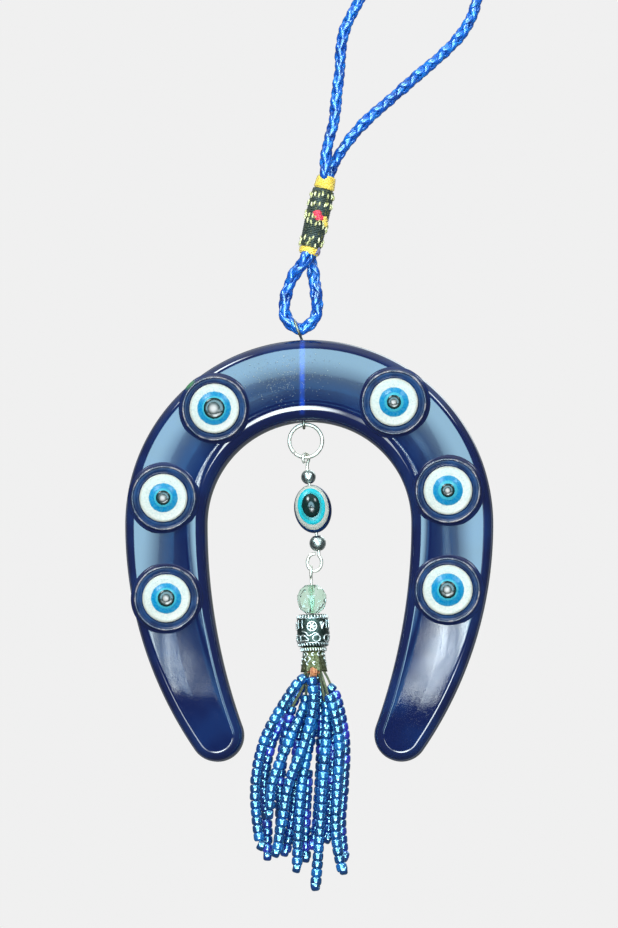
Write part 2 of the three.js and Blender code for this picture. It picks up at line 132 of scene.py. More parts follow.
# Seed beads. A strand that starts between the heights of CROWDED gets one more bead above it.
SEED_R = 1.2
SEED_LENGTH = 1.8
BEAD_SPACING = 1.76
FIRST_BEAD = 0.85
END_GAP = 1.3
CROWDED = (-77.5, -74.5)

# Bead strands, as in the CAD model: height, sideways place, and depth where it isn't the usual one
STRAND_DEPTH = {"front": -2.65, "back": 2.65}
FRONT_STRANDS = [
    [(-75, -2.0), (-80, -5.5), (-88, -9.7), (-97, -11.5), (-106, -11.1), (-111.5, -10.2)],
    [(-77.8, -0.7, 0), (-80, -1.0, 0), (-88, -4.3, -1.9), (-97, -7.8), (-104.7, -8.5)],
    [(-74, 0.7), (-80, 1.1), (-88, -0.8), (-97, -4.2), (-106, -5.8), (-113, -7.0)],
    [(-81.8, 1.3, 0), (-88, 0.2, 0), (-97, -1.5, -1.3), (-106, -2.1), (-116.3, -2.5)],
    [(-79.1, 3.5, -0.3), (-81, 3.9, -0.3), (-88, 3.8), (-97, 3.1), (-106, 2.6), (-120.2, 1.5)],
    [(-77.8, 4.4), (-80, 5.2), (-88, 6.7), (-97, 6.4), (-106, 5.9), (-111, 6.3), (-116.7, 7.6)],
]
BACK_STRANDS = [
    [(-76.7, -2.2), (-80, -4.0), (-88, -8.2), (-97, -9.9), (-106, -9.3), (-113.7, -9.2)],
    [(-80.2, -3.7, 0), (-82.5, -4.3, 0.3), (-88, -5.5, 1.3), (-97, -6.4, 1.6), (-106, -6.3, 1.0),
     (-110.4, -6.8, 0.6)],
    [(-79, -0.3), (-81, -0.8), (-88, -2.6), (-97, -3.0), (-106, -4.1), (-112.8, -5.4)],
    [(-94, -0.4), (-97, -0.45), (-106, -0.9), (-114.1, -0.8)],
    [(-74.8, 2.2), (-80, 2.4), (-88, 2.5), (-97, 2.2), (-106, 1.6, 2.2), (-111.3, 0.8, 0.4)],
    [(-79.5, 5.0), (-82, 5.1), (-88, 5.1), (-97, 4.8), (-106, 4.2), (-110, 3.9)],
    [(-77.1, 5.4, 0), (-80, 6.4, 0), (-88, 7.8, 1.3), (-97, 7.5, 2.0), (-106, 6.9, 1.3), (-113.9, 7.7, 0.6)],
]


# ---- Camera ------------------------------------------------------------------------------------

CAMERA_BACK = np.array([math.sin(VIEW_AZIMUTH) * math.cos(VIEW_ELEVATION),
                        -math.cos(VIEW_AZIMUTH) * math.cos(VIEW_ELEVATION),
                        math.sin(VIEW_ELEVATION)])
CAMERA_PLACE = VIEW_CENTRE + CAMERA_BACK * VIEW_HEIGHT * LENS / SENSOR


def linked(name, data):
    """A new object in the scene."""
    item = bpy.data.objects.new(name, data)
    bpy.context.scene.collection.objects.link(item)
    return item


def make_camera():
    data = bpy.data.cameras.new("camera")
    data.lens = LENS
    data.sensor_width = SENSOR
    data.clip_start = 0.01
    data.clip_end = 50
    camera = linked("camera", data)
    camera.location = Vector((HORSESHOE_TOP + CAMERA_PLACE) * MM)
    camera.rotation_euler = Vector(-CAMERA_BACK).to_track_quat("-Z", "Y").to_euler()
    bpy.context.scene.camera = camera


make_camera()


# ---- Shape helpers -----------------------------------------------------------------------------

class Solid:
    """Vertices and faces gathered from several shapes, in millimetres from the horseshoe's top."""

    def __init__(self):
        self.points = []
        self.faces = []

    def add(self, shape, matrix=None):
        points, faces = shape
        start = len(self.points)
        if matrix is not None:
            points = [matrix @ Vector(p) for p in points]
        self.points.extend(tuple(p) for p in points)
        self.faces.extend(tuple(start + i for i in face) for face in faces)
        return self

    def piece(self, name, body, material, slot, replaces=(), smooth=True):
        mesh = bpy.data.meshes.new(name)
        mesh.from_pydata(((np.array(self.points) + HORSESHOE_TOP) * MM).tolist(), [], self.faces)
        mesh.validate()
        mesh.polygons.foreach_set("use_smooth", [smooth] * len(mesh.polygons))
        edit(mesh, lambda work: bmesh.ops.recalc_face_normals(work, faces=work.faces))
        mesh.materials.append(material)
        piece = linked(name, mesh)
        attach(piece, body)
        if replaces:
            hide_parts(*replaces)
        return piece


def edit(mesh, change):
    """Makes a change to a mesh as a bmesh."""
    work = bmesh.new()
    work.from_mesh(mesh)
    change(work)
    work.to_mesh(mesh)
    work.free()


def rings_shape(rings, closed=False):
    """A skin over rings of equal size, with flat ends unless it closes on itself."""
    size = len(rings[0])
    points = [p for ring in rings for p in ring]
    count = len(rings)
    faces = []
    for i in range(count if closed else count - 1):
        a = i * size
        b = ((i + 1) % count) * size
        for k in range(size):
            n = (k + 1) % size
            faces.append((a + k, a + n, b + n, b + k))
    if not closed:
        faces.append(tuple(range(size)))
        faces.append(tuple(range((count - 1) * size, count * size)))
    return points, faces


def lathe(profile, segments, closed=False):
    """Turns (radius, height) rows about Z. A closed profile makes a ring with a hole."""
    rings = []
    for i in range(segments):
        angle = 2 * math.pi * i / segments
        rings.append([(r * math.cos(angle), r * math.sin(angle), h) for r, h in profile])
    points = [p for ring in rings for p in ring]
    size = len(profile)
    faces = []
    for i in range(segments):
        a = i * size
        b = ((i + 1) % segments) * size
        for k in range(size if closed else size - 1):
            n = (k + 1) % size
            faces.append((a + k, b + k, b + n, a + n))
    return welded(points, faces)


def welded(points, faces):
    """Merges points that fall together, such as those on an axis."""
    seen, index, kept = {}, [], []
    for p in points:
        key = tuple(round(c, 5) for c in p)
        if key not in seen:
            seen[key] = len(kept)
            kept.append(p)
        index.append(seen[key])
    clean = []
    for face in faces:
        corners = []
        for i in face:
            if index[i] not in corners:
                corners.append(index[i])
        if len(corners) > 2:
            clean.append(tuple(corners))
    return kept, clean


def smooth_line(points, step):
    """A centripetal Catmull-Rom line through the points, sampled evenly."""
    knots = np.array(points, float)
    knots = np.vstack([2 * knots[0] - knots[1], knots, 2 * knots[-1] - knots[-2]])
    dense = []
    for i in range(1, len(knots) - 2):
        p = knots[i - 1:i + 3]
        t = np.concatenate([[0], np.cumsum(np.linalg.norm(np.diff(p, axis=0), axis=1) ** 0.5)])
        for u in np.linspace(t[1], t[2], 24, endpoint=False):
            a = [((t[k + 1] - u) * p[k] + (u - t[k]) * p[k + 1]) / (t[k + 1] - t[k]) for k in range(3)]
            b = [((t[k + 2] - u) * a[k] + (u - t[k]) * a[k + 1]) / (t[k + 2] - t[k]) for k in range(2)]
            dense.append(((t[2] - u) * b[0] + (u - t[1]) * b[1]) / (t[2] - t[1]))
    dense.append(knots[-2])
    dense = np.array(dense)
    along = np.concatenate([[0], np.cumsum(np.linalg.norm(np.diff(dense, axis=0), axis=1))])
    count = max(2, round(along[-1] / step) + 1)
    marks = np.linspace(0, along[-1], count)
    line = np.stack([np.interp(marks, along, dense[:, k]) for k in range(3)], axis=1)
    return line, marks


def frames_on(line, first=(0, -1, 0)):
    """The direction of a line at each point, and two directions across it that don't twist."""
    tangents = np.gradient(line, axis=0)
    tangents /= np.linalg.norm(tangents, axis=1)[:, None]
    across = []
    side = np.array(first, float)
    for t in tangents:
        side = side - t * (side @ t)
        side /= np.linalg.norm(side)
        across.append(side)
    across = np.array(across)
    return tangents, across, np.cross(tangents, across)


def tube(points, radius, sides=12, step=0.3):
    """A round rod through the points. radius is a number, or a function of the share of its length."""
    line, marks = smooth_line(points, step)
    _, side, other = frames_on(line)
    rings = []
    for i, centre in enumerate(line):
        r = radius(marks[i] / marks[-1]) if callable(radius) else radius
        angles = [2 * math.pi * k / sides for k in range(sides)]
        rings.append([tuple(centre + r * (math.cos(a) * side[i] + math.sin(a) * other[i])) for a in angles])
    return rings_shape(rings)


def arc(centre, across, along, start, end, count):
    """Points round an ellipse with half axes across and along, from start to end in degrees."""
    centre, across, along = np.array(centre), np.array(across), np.array(along)
    angles = [math.radians(start + (end - start) * i / (count - 1)) for i in range(count)]
    return [centre + across * math.cos(a) + along * math.sin(a) for a in angles]


def on_pin(z):
    """The place on the oval bead's pin at a height."""
    return np.array([PIN_START[0] + PIN_SLOPE * (PIN_START[1] - z), 0, z])


def on_tassel_pin(z):
    return np.array([TASSEL_EYE[0] + TASSEL_SLOPE * (TASSEL_EYE[1] - z), 0, z])


def leaning(centre, slope):
    """Turns a lathe's +Z along a pin that leans by slope, at that place."""
    return Matrix.Translation(Vector(centre)) @ Matrix.Rotation(-math.atan(slope), 4, "Y")


def facing_front(x, y, z):
    """Turns a lathe's +Z to the front, -Y, at that place."""
    return Matrix.Translation((x, y, z)) @ Matrix.Rotation(math.pi / 2, 4, "X")


def ball(radius, segments=16, rows=10):
    angles = [math.pi * (i / rows - 0.5) for i in range(rows + 1)]
    return lathe([(radius * math.cos(a), radius * math.sin(a)) for a in angles], segments)


# ---- Materials ---------------------------------------------------------------------------------

class Nodes:
    """The nodes of a material or a world, with the kinds that most values pass through."""

    def __init__(self, tree):
        self.nodes = tree.nodes
        self.links = tree.links

    def ramp(self, value, low, high, to_low=0.0, to_high=1.0):
        node = self.nodes.new("ShaderNodeMapRange")
        node.interpolation_type = "SMOOTHSTEP"
        for end, first, last in (("Min", low, to_low), ("Max", high, to_high)):
            node.inputs["From " + end].default_value = first
            node.inputs["To " + end].default_value = last
        self.links.new(value, node.inputs["Value"])
        return node.outputs["Result"]

    def math(self, operation, first, second):
        node = self.nodes.new("ShaderNodeMath")
        node.operation = operation
        for k, value in enumerate((first, second)):
            if isinstance(value, (int, float)):
                node.inputs[k].default_value = value
            else:
                self.links.new(value, node.inputs[k])
        return node.outputs[0]

    def vector(self, operation, value, constant=None, output="Vector"):
        node = self.nodes.new("ShaderNodeVectorMath")
        node.operation = operation
        self.links.new(value, node.inputs[0])
        if constant is not None:
            node.inputs["Scale" if operation == "SCALE" else 1].default_value = constant
        return node.outputs[output]

    def axis(self, value, letter):
        node = self.nodes.new("ShaderNodeSeparateXYZ")
        self.links.new(value, node.inputs[0])
        return node.outputs[letter]

    def place(self, kind):
        return self.nodes.new("ShaderNodeTexCoord").outputs[kind]


class Finish(Nodes):
    """A Principled material with procedural colour, roughness and bump on it."""

    def __init__(self, name, color, roughness, **sockets):
        self.material = bpy.data.materials.new(name)
        self.material.use_nodes = True
        super().__init__(self.material.node_tree)
        self.shader = self.nodes["Principled BSDF"]
        self.shader.inputs["Base Color"].default_value = (*color, 1)
        self.shader.inputs["Roughness"].default_value = roughness
        for socket, value in sockets.items():
            self.shader.inputs[socket.replace("_", " ")].default_value = value
        self.color = None
        self.millimetres = self.vector("SCALE", self.place("Object"), 1000)

    def noise(self, scale, detail=3, stretch=None, roughness=0.5):
        node = self.nodes.new("ShaderNodeTexNoise")
        for socket, number in (("Scale", scale), ("Detail", detail), ("Roughness", roughness)):
            node.inputs[socket].default_value = number
        place = self.vector("MULTIPLY", self.millimetres, stretch) if stretch else self.millimetres
        self.links.new(place, node.inputs["Vector"])
        return node.outputs["Fac"]

    def distance(self, point):
        """Millimetres from a point, which is in millimetres from the horseshoe's top."""
        return self.vector("DISTANCE", self.millimetres, tuple(np.array(point) + HORSESHOE_TOP), "Value")

    def from_middle(self, x=0.5, z=0.5):
        """Distance from the piece's middle across its front, in shares of its width and height."""
        flat = self.vector("MULTIPLY", self.place("Generated"), (1, 0, 1))
        return self.vector("DISTANCE", flat, (x, 0, z), "Value")

    def tint(self, share, color):
        """Mixes a colour into the base colour."""
        node = self.nodes.new("ShaderNodeMix")
        node.data_type = "RGBA"
        if self.color is None:
            node.inputs["A"].default_value = self.shader.inputs["Base Color"].default_value
        else:
            self.links.new(self.color, node.inputs["A"])
        node.inputs["B"].default_value = (*color, 1)
        self.links.new(share, node.inputs["Factor"])
        self.color = node.outputs["Result"]
        self.links.new(self.color, self.shader.inputs["Base Color"])

    def rough(self, value):
        self.links.new(value, self.shader.inputs["Roughness"])

    def bump(self, height, distance, strength=1.0):
        """Bump with its height in millimetres."""
        node = self.nodes.new("ShaderNodeBump")
        node.inputs["Distance"].default_value = distance * MM
        node.inputs["Strength"].default_value = strength
        self.links.new(height, node.inputs["Height"])
        previous = self.shader.inputs["Normal"].links
        if previous:
            self.links.new(previous[0].from_socket, node.inputs["Normal"])
        self.links.new(node.outputs["Normal"], self.shader.inputs["Normal"])


def mottled(name, color, second, roughness, patches, bump, uneven=None, **sockets):
    """A finish with patches of a second colour. patches holds a noise's scale, detail and two levels,
    uneven the same and the roughness at each level, and bump a noise's scale and its height."""
    f = Finish(name, color, roughness, **sockets)
    f.tint(f.ramp(f.noise(*patches[:2]), *patches[2:]), second)
    if uneven:
        f.rough(f.ramp(f.noise(*uneven[:2]), *uneven[2:]))
    f.bump(f.noise(bump[0]), bump[1])
    return f.material


def nylon():
    f = Finish("braided_nylon", (0.001, 0.085, 0.5), 0.24, IOR=1.8, Specular_IOR_Level=0.9,
               Specular_Tint=(0.6, 0.92, 1, 1))
    f.tint(f.ramp(f.noise(0.9), 0.5, 0.62, 0, 0.8), (0.008, 0.24, 0.8))
    f.tint(f.ramp(f.noise(0.45), 0.5, 0.66, 0, 0.9), (0.001, 0.02, 0.22))
    f.rough(f.ramp(f.noise(3.0), 0.3, 0.7, 0.16, 0.32))
    f.bump(f.noise(5.0), 0.02)
    return f.material


def thread(name, color, second, roughness=0.5, metallic=0.0):
    return mottled(name, color, second, roughness, (1.6, 3, 0.4, 0.62), (12.0, 0.04), Metallic=metallic,
                   Sheen_Weight=0.2)


def sleeve_thread():
    f = Finish("sleeve_thread", (0.02, 0.036, 0.026), 0.5, Sheen_Weight=0.1)
    f.tint(f.ramp(f.noise(0.5), 0.5, 0.62, 0, 0.8), (0.04, 0.065, 0.065))
    f.tint(f.ramp(f.noise(1.9, stretch=(1, 1, 0.4)), 0.56, 0.66, 0, 0.8), (0.2, 0.2, 0.05))
    f.bump(f.noise(12.0), 0.05)
    return f.material


def navy_resin():
    """Deep navy cast resin, a little cloudy, with a painted glow along the line of the drilled bore and a
    green nick.
    """
    f = Finish("navy_resin", (0.006, 0.011, 0.056), 0.04, Coat_Weight=0.3, Coat_Roughness=0.02)
    f.tint(f.ramp(f.noise(0.09, detail=2), 0.42, 0.66, 0, 0.7), (0.008, 0.024, 0.1))
    # The bore's line is painted bright blue, a painted glow of light through the resin, patchy and starting
    # above its foot.
    bore_x, _, foot = HORSESHOE_TOP + (BORE["x"], 0, BORE["foot"])
    off = f.math("ABSOLUTE", f.math("SUBTRACT", f.axis(f.millimetres, "X"), float(bore_x)), 0)
    bore_glow = f.ramp(off, 0.15, BORE["half_width"], 0.75, 0)
    above = f.ramp(f.axis(f.millimetres, "Z"), foot, foot + 1.5)
    patchy = f.ramp(f.noise(0.4, stretch=(0.1, 0.1, 1)), 0.35, 0.65, 0.4, 1)
    f.tint(f.math("MULTIPLY", f.math("MULTIPLY", bore_glow, above), patchy), (0.014, 0.07, 0.55))
    nick = (ARCH_OUT * math.cos(NICK["angle"]), FRONT_Y, ARCH_Z + ARCH_OUT * math.sin(NICK["angle"]))
    f.tint(f.ramp(f.distance(nick), 0.6, 1.9, 0.9, 0), (0.05, 0.17, 0.07))
    scratches = f.noise(0.9, detail=6, stretch=(1, 1, 3), roughness=0.75)
    f.rough(f.ramp(scratches, 0.5, 0.8, 0.03, 0.12))
    f.bump(f.noise(0.05, detail=1), 0.13)
    f.bump(f.noise(2.5, detail=5), 0.004, 0.4)
    return f.material


def enamel(name, color, second, roughness=0.22):
    return mottled(name, color, second, roughness, (2.2, 5, 0.42, 0.68), (5.0, 0.012),
                   (3.0, 3, 0.3, 0.7, roughness, roughness + 0.12), Specular_IOR_Level=0.4)


def ring_enamel(name, color, edge, low, high, ragged=0.06):
    """Enamel that turns to its edge colour between two distances from the middle, with a ragged border."""
    f = Finish(name, color, 0.3, Specular_IOR_Level=0.3)
    between = tuple(0.5 * (a + b) for a, b in zip(color, edge))
    f.tint(f.ramp(f.noise(1.4, detail=4), 0.4, 0.7, 0, 0.5), between)
    uneven = f.math("MULTIPLY", f.math("SUBTRACT", f.noise(2.4, detail=4, roughness=0.7), 0.5), ragged * 4)
    f.tint(f.ramp(f.math("ADD", f.from_middle(), uneven), low, high), edge)
    f.rough(f.ramp(f.noise(3.0), 0.3, 0.7, 0.22, 0.34))
    f.bump(f.noise(5.0), 0.006)
    return f.material


def pupil_painted_highlight():
    """A painted highlight on the pupil: a pale middle, dark towards its edge."""
    f = Finish("pupil_painted_highlight", (0.003, 0.018, 0.016), 0.4)
    f.tint(f.ramp(f.from_middle(0.47, 0.46), 0.1, 0.46, 1, 0), (0.42, 0.38, 0.36))
    f.tint(f.ramp(f.noise(0.9, detail=4), 0.55, 0.7, 0, 0.35), (0.5, 0.5, 0.48))
    f.rough(f.ramp(f.noise(2.0), 0.3, 0.7, 0.35, 0.5))
    f.bump(f.noise(4.0), 0.01)
    return f.material


def metal(name, color, second, roughness, bump=0.02, scale=1.5):
    return mottled(name, color, second, roughness, (scale, 4, 0.45, 0.7), (scale * 2.5, bump),
                   (scale * 2, 4, 0.3, 0.7, roughness, roughness + 0.2), Metallic=1.0)


def seed_glass(name, color, second, third):
    """Silver-lined glass: dark blue with bright blue-white reflections, each bead a little different."""
    f = Finish(name, color, 0.24, IOR=2.3, Specular_IOR_Level=1.0, Specular_Tint=(0.4, 0.86, 1, 1))
    island = f.nodes.new("ShaderNodeNewGeometry").outputs["Random Per Island"]
    f.tint(f.ramp(island, 0.4, 0.6), second)
    f.tint(f.ramp(island, 0.86, 0.9), third)
    f.rough(f.ramp(f.noise(1.5), 0.3, 0.7, 0.12, 0.26))
    f.bump(f.noise(1.8), 0.025)
    return f.material


NYLON = nylon()
# The cord's core is coloured dark as painted shade in the gaps between the braid's strands.
SHADE_CORE = mottled("cord_core_painted_shade", (0.001, 0.008, 0.09), (0.002, 0.02, 0.16), 0.8, (2.0, 3, 0.3, 0.7), (6.0, 0.05))
SLEEVE = sleeve_thread()
FLECK = thread("fleck_thread", (0.5, 0.5, 0.18), (0.82, 0.8, 0.5), 0.4, 0.2)
BAND = thread("band_thread", (0.9, 0.62, 0.06), (0.95, 0.74, 0.16), 0.45)
RED = thread("red_thread", (0.72, 0.02, 0.07), (0.85, 0.06, 0.1), 0.45)
PURPLE = thread("purple_thread", (0.12, 0.09, 0.2), (0.2, 0.18, 0.3))
RUST = thread("rust_thread", (0.42, 0.13, 0.04), (0.6, 0.26, 0.1))
OLIVE = thread("olive_thread", (0.05, 0.07, 0.025), (0.12, 0.14, 0.05))
RESIN = navy_resin()
BOSS = mottled("boss_resin", (0.004, 0.013, 0.055), (0.005, 0.03, 0.11), 0.12, (0.25, 3, 0.35, 0.65),
               (2.0, 0.01), (1.5, 5, 0.4, 0.7, 0.08, 0.2), Specular_IOR_Level=0.1)
# The boss rims are mottled pale grey-beige, a painted highlight along each rim.
RIM = mottled("rim_resin_painted_highlight", (0.03, 0.04, 0.08), (0.2, 0.17, 0.19), 0.16, (0.5, 3, 0.45, 0.6), (1.2, 0.05),
              (1.5, 5, 0.4, 0.7, 0.1, 0.3), Coat_Weight=0.6, Coat_Roughness=0.08)
WHITE = enamel("eye_white_enamel", (0.46, 0.46, 0.41), (0.38, 0.41, 0.38))
DOTS = enamel("eye_dots_enamel", (0.25, 0.33, 0.36), (0.35, 0.42, 0.42))
BLUE = ring_enamel("iris_blue_enamel", (0.0, 0.2, 0.42), (0.12, 0.37, 0.44), 0.46, 0.53)
CYAN = ring_enamel("iris_cyan_enamel", (0.05, 0.38, 0.48), (0.0, 0.2, 0.42), 0.44, 0.5, 0.03)
TURQUOISE = ring_enamel("turquoise_enamel", (0.01, 0.24, 0.26), (0.012, 0.42, 0.5), 0.34, 0.42, 0.02)
PUPIL = mottled("pupil_glass", (0.003, 0.018, 0.016), (0.008, 0.022, 0.022), 0.14, (1.0, 3, 0.4, 0.7),
                (3.0, 0.006))
PUPIL_HIGHLIGHT = pupil_painted_highlight()
STEEL = metal("steel_wire", (0.74, 0.71, 0.63), (0.5, 0.5, 0.42), 0.42)
DARK_STEEL = metal("dark_wire", (0.3, 0.29, 0.24), (0.18, 0.2, 0.15), 0.3)
SILVER = metal("silver_bead", (0.5, 0.54, 0.52), (0.3, 0.36, 0.33), 0.22, 0.05, 1.0)
RELIEF = metal("silver_relief", (0.82, 0.84, 0.82), (0.62, 0.66, 0.63), 0.3, 0.03)
RECESS = metal("oxidised_silver", (0.045, 0.07, 0.06), (0.1, 0.13, 0.11), 0.38, 0.05)
CAP_METAL = metal("cap_metal", (0.11, 0.115, 0.05), (0.26, 0.26, 0.17), 0.42, 0.12, 2.2)
CRYSTAL = mottled("clear_glass", (0.62, 0.86, 0.7), (0.76, 0.92, 0.85), 0.02, (0.4, 3, 0.4, 0.7),
                  (3.0, 0.006), (2.0, 3, 0.4, 0.7, 0.0, 0.06), Transmission_Weight=1.0, IOR=1.52)
SEED = seed_glass("seed_glass", (0.001, 0.02, 0.15), (0.001, 0.035, 0.22), (0.004, 0.09, 0.36))
# The back strands get a darker, more violet copy of the seed glass: painted shade behind the front strands.
SEED_BACK_SHADED = seed_glass("seed_glass_back_shaded", (0.002, 0.012, 0.24), (0.001, 0.008, 0.16), (0.04, 0.02, 0.5))


# ---- Cords -------------------------------------------------------------------------------------

BRAID = {"radius": 0.6, "weave": 0.17, "wide": 0.64, "thick": 0.42, "tuck": 0.12}


def braid(route, pitch, size, step=0.2):
    """Two strands each way, plaited over and under, along a route whose ends tuck into the wrap."""
    route = np.array(route) - HORSESHOE_TOP
    lower = np.linalg.norm(route[0] - WRAP_LOWER) < np.linalg.norm(route[0] - WRAP_UPPER)
    inside = WRAP_LOWER + (WRAP_UPPER - WRAP_LOWER) * (BRAID["tuck"] if lower else 1 - BRAID["tuck"])
    ends = [route[k] + (inside - route[k]) * 0.7 for k in (0, -1)]
    line, marks = smooth_line([ends[0], *route, ends[1]], step)
    _, side, other = frames_on(line, (0.7, -0.7, 0))
    slack = 0.05 * np.sin(marks / 2.3) + 0.04 * np.sin(marks / 0.9 + 1)
    strands = Solid()
    for hand in (1, -1):
        for k in range(2):
            turn = hand * 2 * math.pi * marks / pitch + k * math.pi
            out = np.cos(turn)[:, None] * side + np.sin(turn)[:, None] * other
            lift = BRAID["radius"] + slack + BRAID["weave"] * hand * np.cos(4 * math.pi * marks / pitch)
            centres = line + out * lift[:, None] * size
            run = np.gradient(centres, axis=0)
            run /= np.linalg.norm(run, axis=1)[:, None]
            wide = np.cross(run, out)
            wide /= np.linalg.norm(wide, axis=1)[:, None]
            rings = []
            for i, centre in enumerate(centres):
                ring = []
                for s in range(20):
                    angle = 2 * math.pi * s / 20
                    ridge = size * (1.05 if s % 2 else 0.96)
                    ring.append(tuple(centre + ridge * (BRAID["wide"] * math.cos(angle) * wide[i]
                                                        + BRAID["thick"] * math.sin(angle) * out[i])))
                rings.append(ring)
            strands.add(rings_shape(rings))
    core = Solid().add(tube(line[::6], 0.42 * size, 10, 0.6))
    return strands, core, (line + HORSESHOE_TOP) * MM


def make_cord(name, route, node, pitch, size):
    strands, core, path = braid(route, pitch, size)
    piece = strands.piece(name, "hanging_cord", NYLON, "braided_cord", [node])
    # The core's dark colour is painted shade seen through the gaps of the braid.
    inside = core.piece(name + "_core", "hanging_cord", SHADE_CORE, "braided_cord")


make_cord("hanging_loop", LARGE_LOOP, "hanging_loop_cord", 8.0, 1.14)
make_cord("small_loop", SMALL_LOOP, "small_loop_cord", 9.5, 1.24)


# ---- Thread wrap -------------------------------------------------------------------------------

WRAP_AXIS = WRAP_UPPER - WRAP_LOWER
WRAP_LENGTH = float(np.linalg.norm(WRAP_AXIS))
WRAP_UP = WRAP_AXIS / WRAP_LENGTH
WRAP_RIGHT = np.cross((0, 1, 0), WRAP_UP)


def wrap_radius(h):
    t = min(max(h / WRAP_LENGTH, 0), 1)
    near = WRAP_R["lower"] if t < WRAP_BULGE_AT else WRAP_R["upper"]
    span = t / WRAP_BULGE_AT if t < WRAP_BULGE_AT else (1 - t) / (1 - WRAP_BULGE_AT)
    return near + (WRAP_R["middle"] - near) * math.sin(span * math.pi / 2)


def on_wrap(h, degrees, lift=0.0):
    """A point on the wrap: height along it, and degrees round it from the front to the right."""
    angle = math.radians(degrees)
    out = math.cos(angle) * np.array([0, -1.0, 0]) + math.sin(angle) * WRAP_RIGHT
    return WRAP_LOWER + WRAP_UP * h + out * (wrap_radius(h) + lift)


def winding(low, high, pitch, radius):
    """A thread wound round the wrap from low to high."""
    turns = (high - low - 2 * radius) / pitch
    count = int(turns * 36)
    points = [on_wrap(low + radius + pitch * i / 36, 10 * i, -radius * 0.8) for i in range(count + 1)]
    return tube(points, radius, 6, 0.4)


def stitches(rows, half_length, radius, seed):
    """Short threads on the wrap: rows of (height, degrees, tilt)."""
    rng = random.Random(seed)
    solid = Solid()
    for h, degrees, tilt in rows:
        reach = half_length * rng.uniform(0.75, 1.25)
        lean = math.radians(tilt + rng.uniform(-12, 12))
        points = []
        for s in (-1, -0.5, 0, 0.5, 1):
            dh = s * reach * math.cos(lean)
            turn = math.degrees(s * reach * math.sin(lean) / wrap_radius(h))
            points.append(on_wrap(h + dh, degrees + turn, 0.12 * (1 - s * s)))
        solid.add(tube(points, lambda t: radius * (0.55 + 0.45 * math.sin(math.pi * t)), 8, 0.2))
    return solid


def wrap_core(low, high, steps, under):
    heights = [low + (high - low) * i / steps for i in range(steps + 1)]
    return lathe([(0, low), *[(wrap_radius(h) - under, h) for h in heights], (0, high)], 32)


def make_wound(name, node, low, high, steps, under, pitch, radius, material, slot):
    """A length of the wrap: thread wound round a core."""
    aim = Vector((0, 0, 1)).rotation_difference(Vector(WRAP_UP)).to_matrix().to_4x4()
    solid = Solid().add(wrap_core(low, high, steps, under), Matrix.Translation(Vector(WRAP_LOWER)) @ aim)
    solid.add(winding(low, high, pitch, radius)).piece(name, "hanging_cord", material, slot, [node])


# Each row of flecks: its height, count and drop for each degree
FLECK_ROWS = [(13.1, 15, 0), (11.2, 16, 0), (8.0, 18, -0.012), (6.9, 16, -0.012), (3.1, 13, 0), (2.3, 9, 0)]


def make_flecks():
    """Bright stitches in uneven rows round the sleeve."""
    rng = random.Random(7)
    rows = []
    for height, count, drop in FLECK_ROWS:
        for i in range(count):
            degrees = -180 + 360 * (i + rng.uniform(-0.3, 0.3)) / count
            h = height + drop * degrees + rng.uniform(-0.5, 0.5)
            rows.append((h, degrees, rng.choice((0, 8, -14, 20))))
    stitches(rows, 0.52, 0.25, 3).piece("sleeve_flecks", "hanging_cord", FLECK, "wrap_thread")


def make_wrap():
    upper, gap = WRAP_LENGTH - BAND_UPPER, 0.05
    make_wound("sleeve_winding", "wrap_sleeve", BAND_LOWER + gap, upper - gap, 12, 0.3, 0.4, 0.22, SLEEVE,
               "wrap_thread")
    make_wound("band_upper", "wrap_band_upper", upper, WRAP_LENGTH, 4, 0.22, 0.33, 0.19, BAND, "wrap_band")
    make_wound("band_lower", "wrap_band_lower", 0, BAND_LOWER, 4, 0.22, 0.33, 0.19, BAND, "wrap_band")
    make_flecks()
    red = [(9.3 - 0.27 * i, -4 + 5 * i, 76) for i in range(6)]
    stitches(red, 0.95, 0.34, 4).piece("sleeve_red_spot", "hanging_cord", RED, "wrap_thread")
    yellow = [(8.4 - 0.28 * i, 40 + 4.5 * i, 56) for i in range(6)]
    stitches(yellow, 0.7, 0.3, 5).piece("sleeve_yellow_spot", "hanging_cord", BAND, "wrap_band")
    loose = [(1.0, 52, 10), (0.9, 66, -5)]
    stitches(loose, 0.85, 0.3, 6).piece("sleeve_thread_end", "hanging_cord", PURPLE, "wrap_thread")


make_wrap()


# ---- Horseshoe ---------------------------------------------------------------------------------

def leg_tip():
    outer, inner = LEG_OUT - TIP_R, LEG_IN + TIP_R
    spread = LEG_IN - ARCH_IN - (LEG_OUT - ARCH_OUT)
    along = (inner ** 2 - outer ** 2 - spread ** 2) / (2 * spread)
    down = math.sqrt(outer ** 2 - along ** 2)
    return along - (LEG_OUT - ARCH_OUT), down


def outline_arcs():
    """The outline as arcs: centre, radius, sign of an inset, start, end, count, share of inner edge."""
    tip_x, down = leg_tip()
    tip_z = ARCH_Z - down
    out_c, in_c = LEG_OUT - ARCH_OUT, LEG_IN - ARCH_IN
    out_end = math.asin(down / (LEG_OUT - TIP_R))
    in_end = math.asin(down / (LEG_IN + TIP_R))
    pi = math.pi
    return [
        (0, ARCH_Z, ARCH_OUT, -1, 0, pi, 150, (0, 0)),
        (out_c, ARCH_Z, LEG_OUT, -1, pi, pi + out_end, 40, (0, 0)),
        (-tip_x, tip_z, TIP_R, -1, pi + out_end, 2 * pi + in_end, 36, (0, 1)),
        (in_c, ARCH_Z, LEG_IN, 1, pi + in_end, pi, 40, (1, 1)),
        (0, ARCH_Z, ARCH_IN, 1, pi, 0, 90, (1, 1)),
        (-in_c, ARCH_Z, LEG_IN, 1, 0, -in_end, 40, (1, 1)),
        (tip_x, tip_z, TIP_R, -1, pi - in_end, 2 * pi - out_end, 36, (1, 0)),
        (-out_c, ARCH_Z, LEG_OUT, -1, -out_end, 0, 40, (0, 0)),
    ]


def eased(share):
    return share * share * (3 - 2 * share)


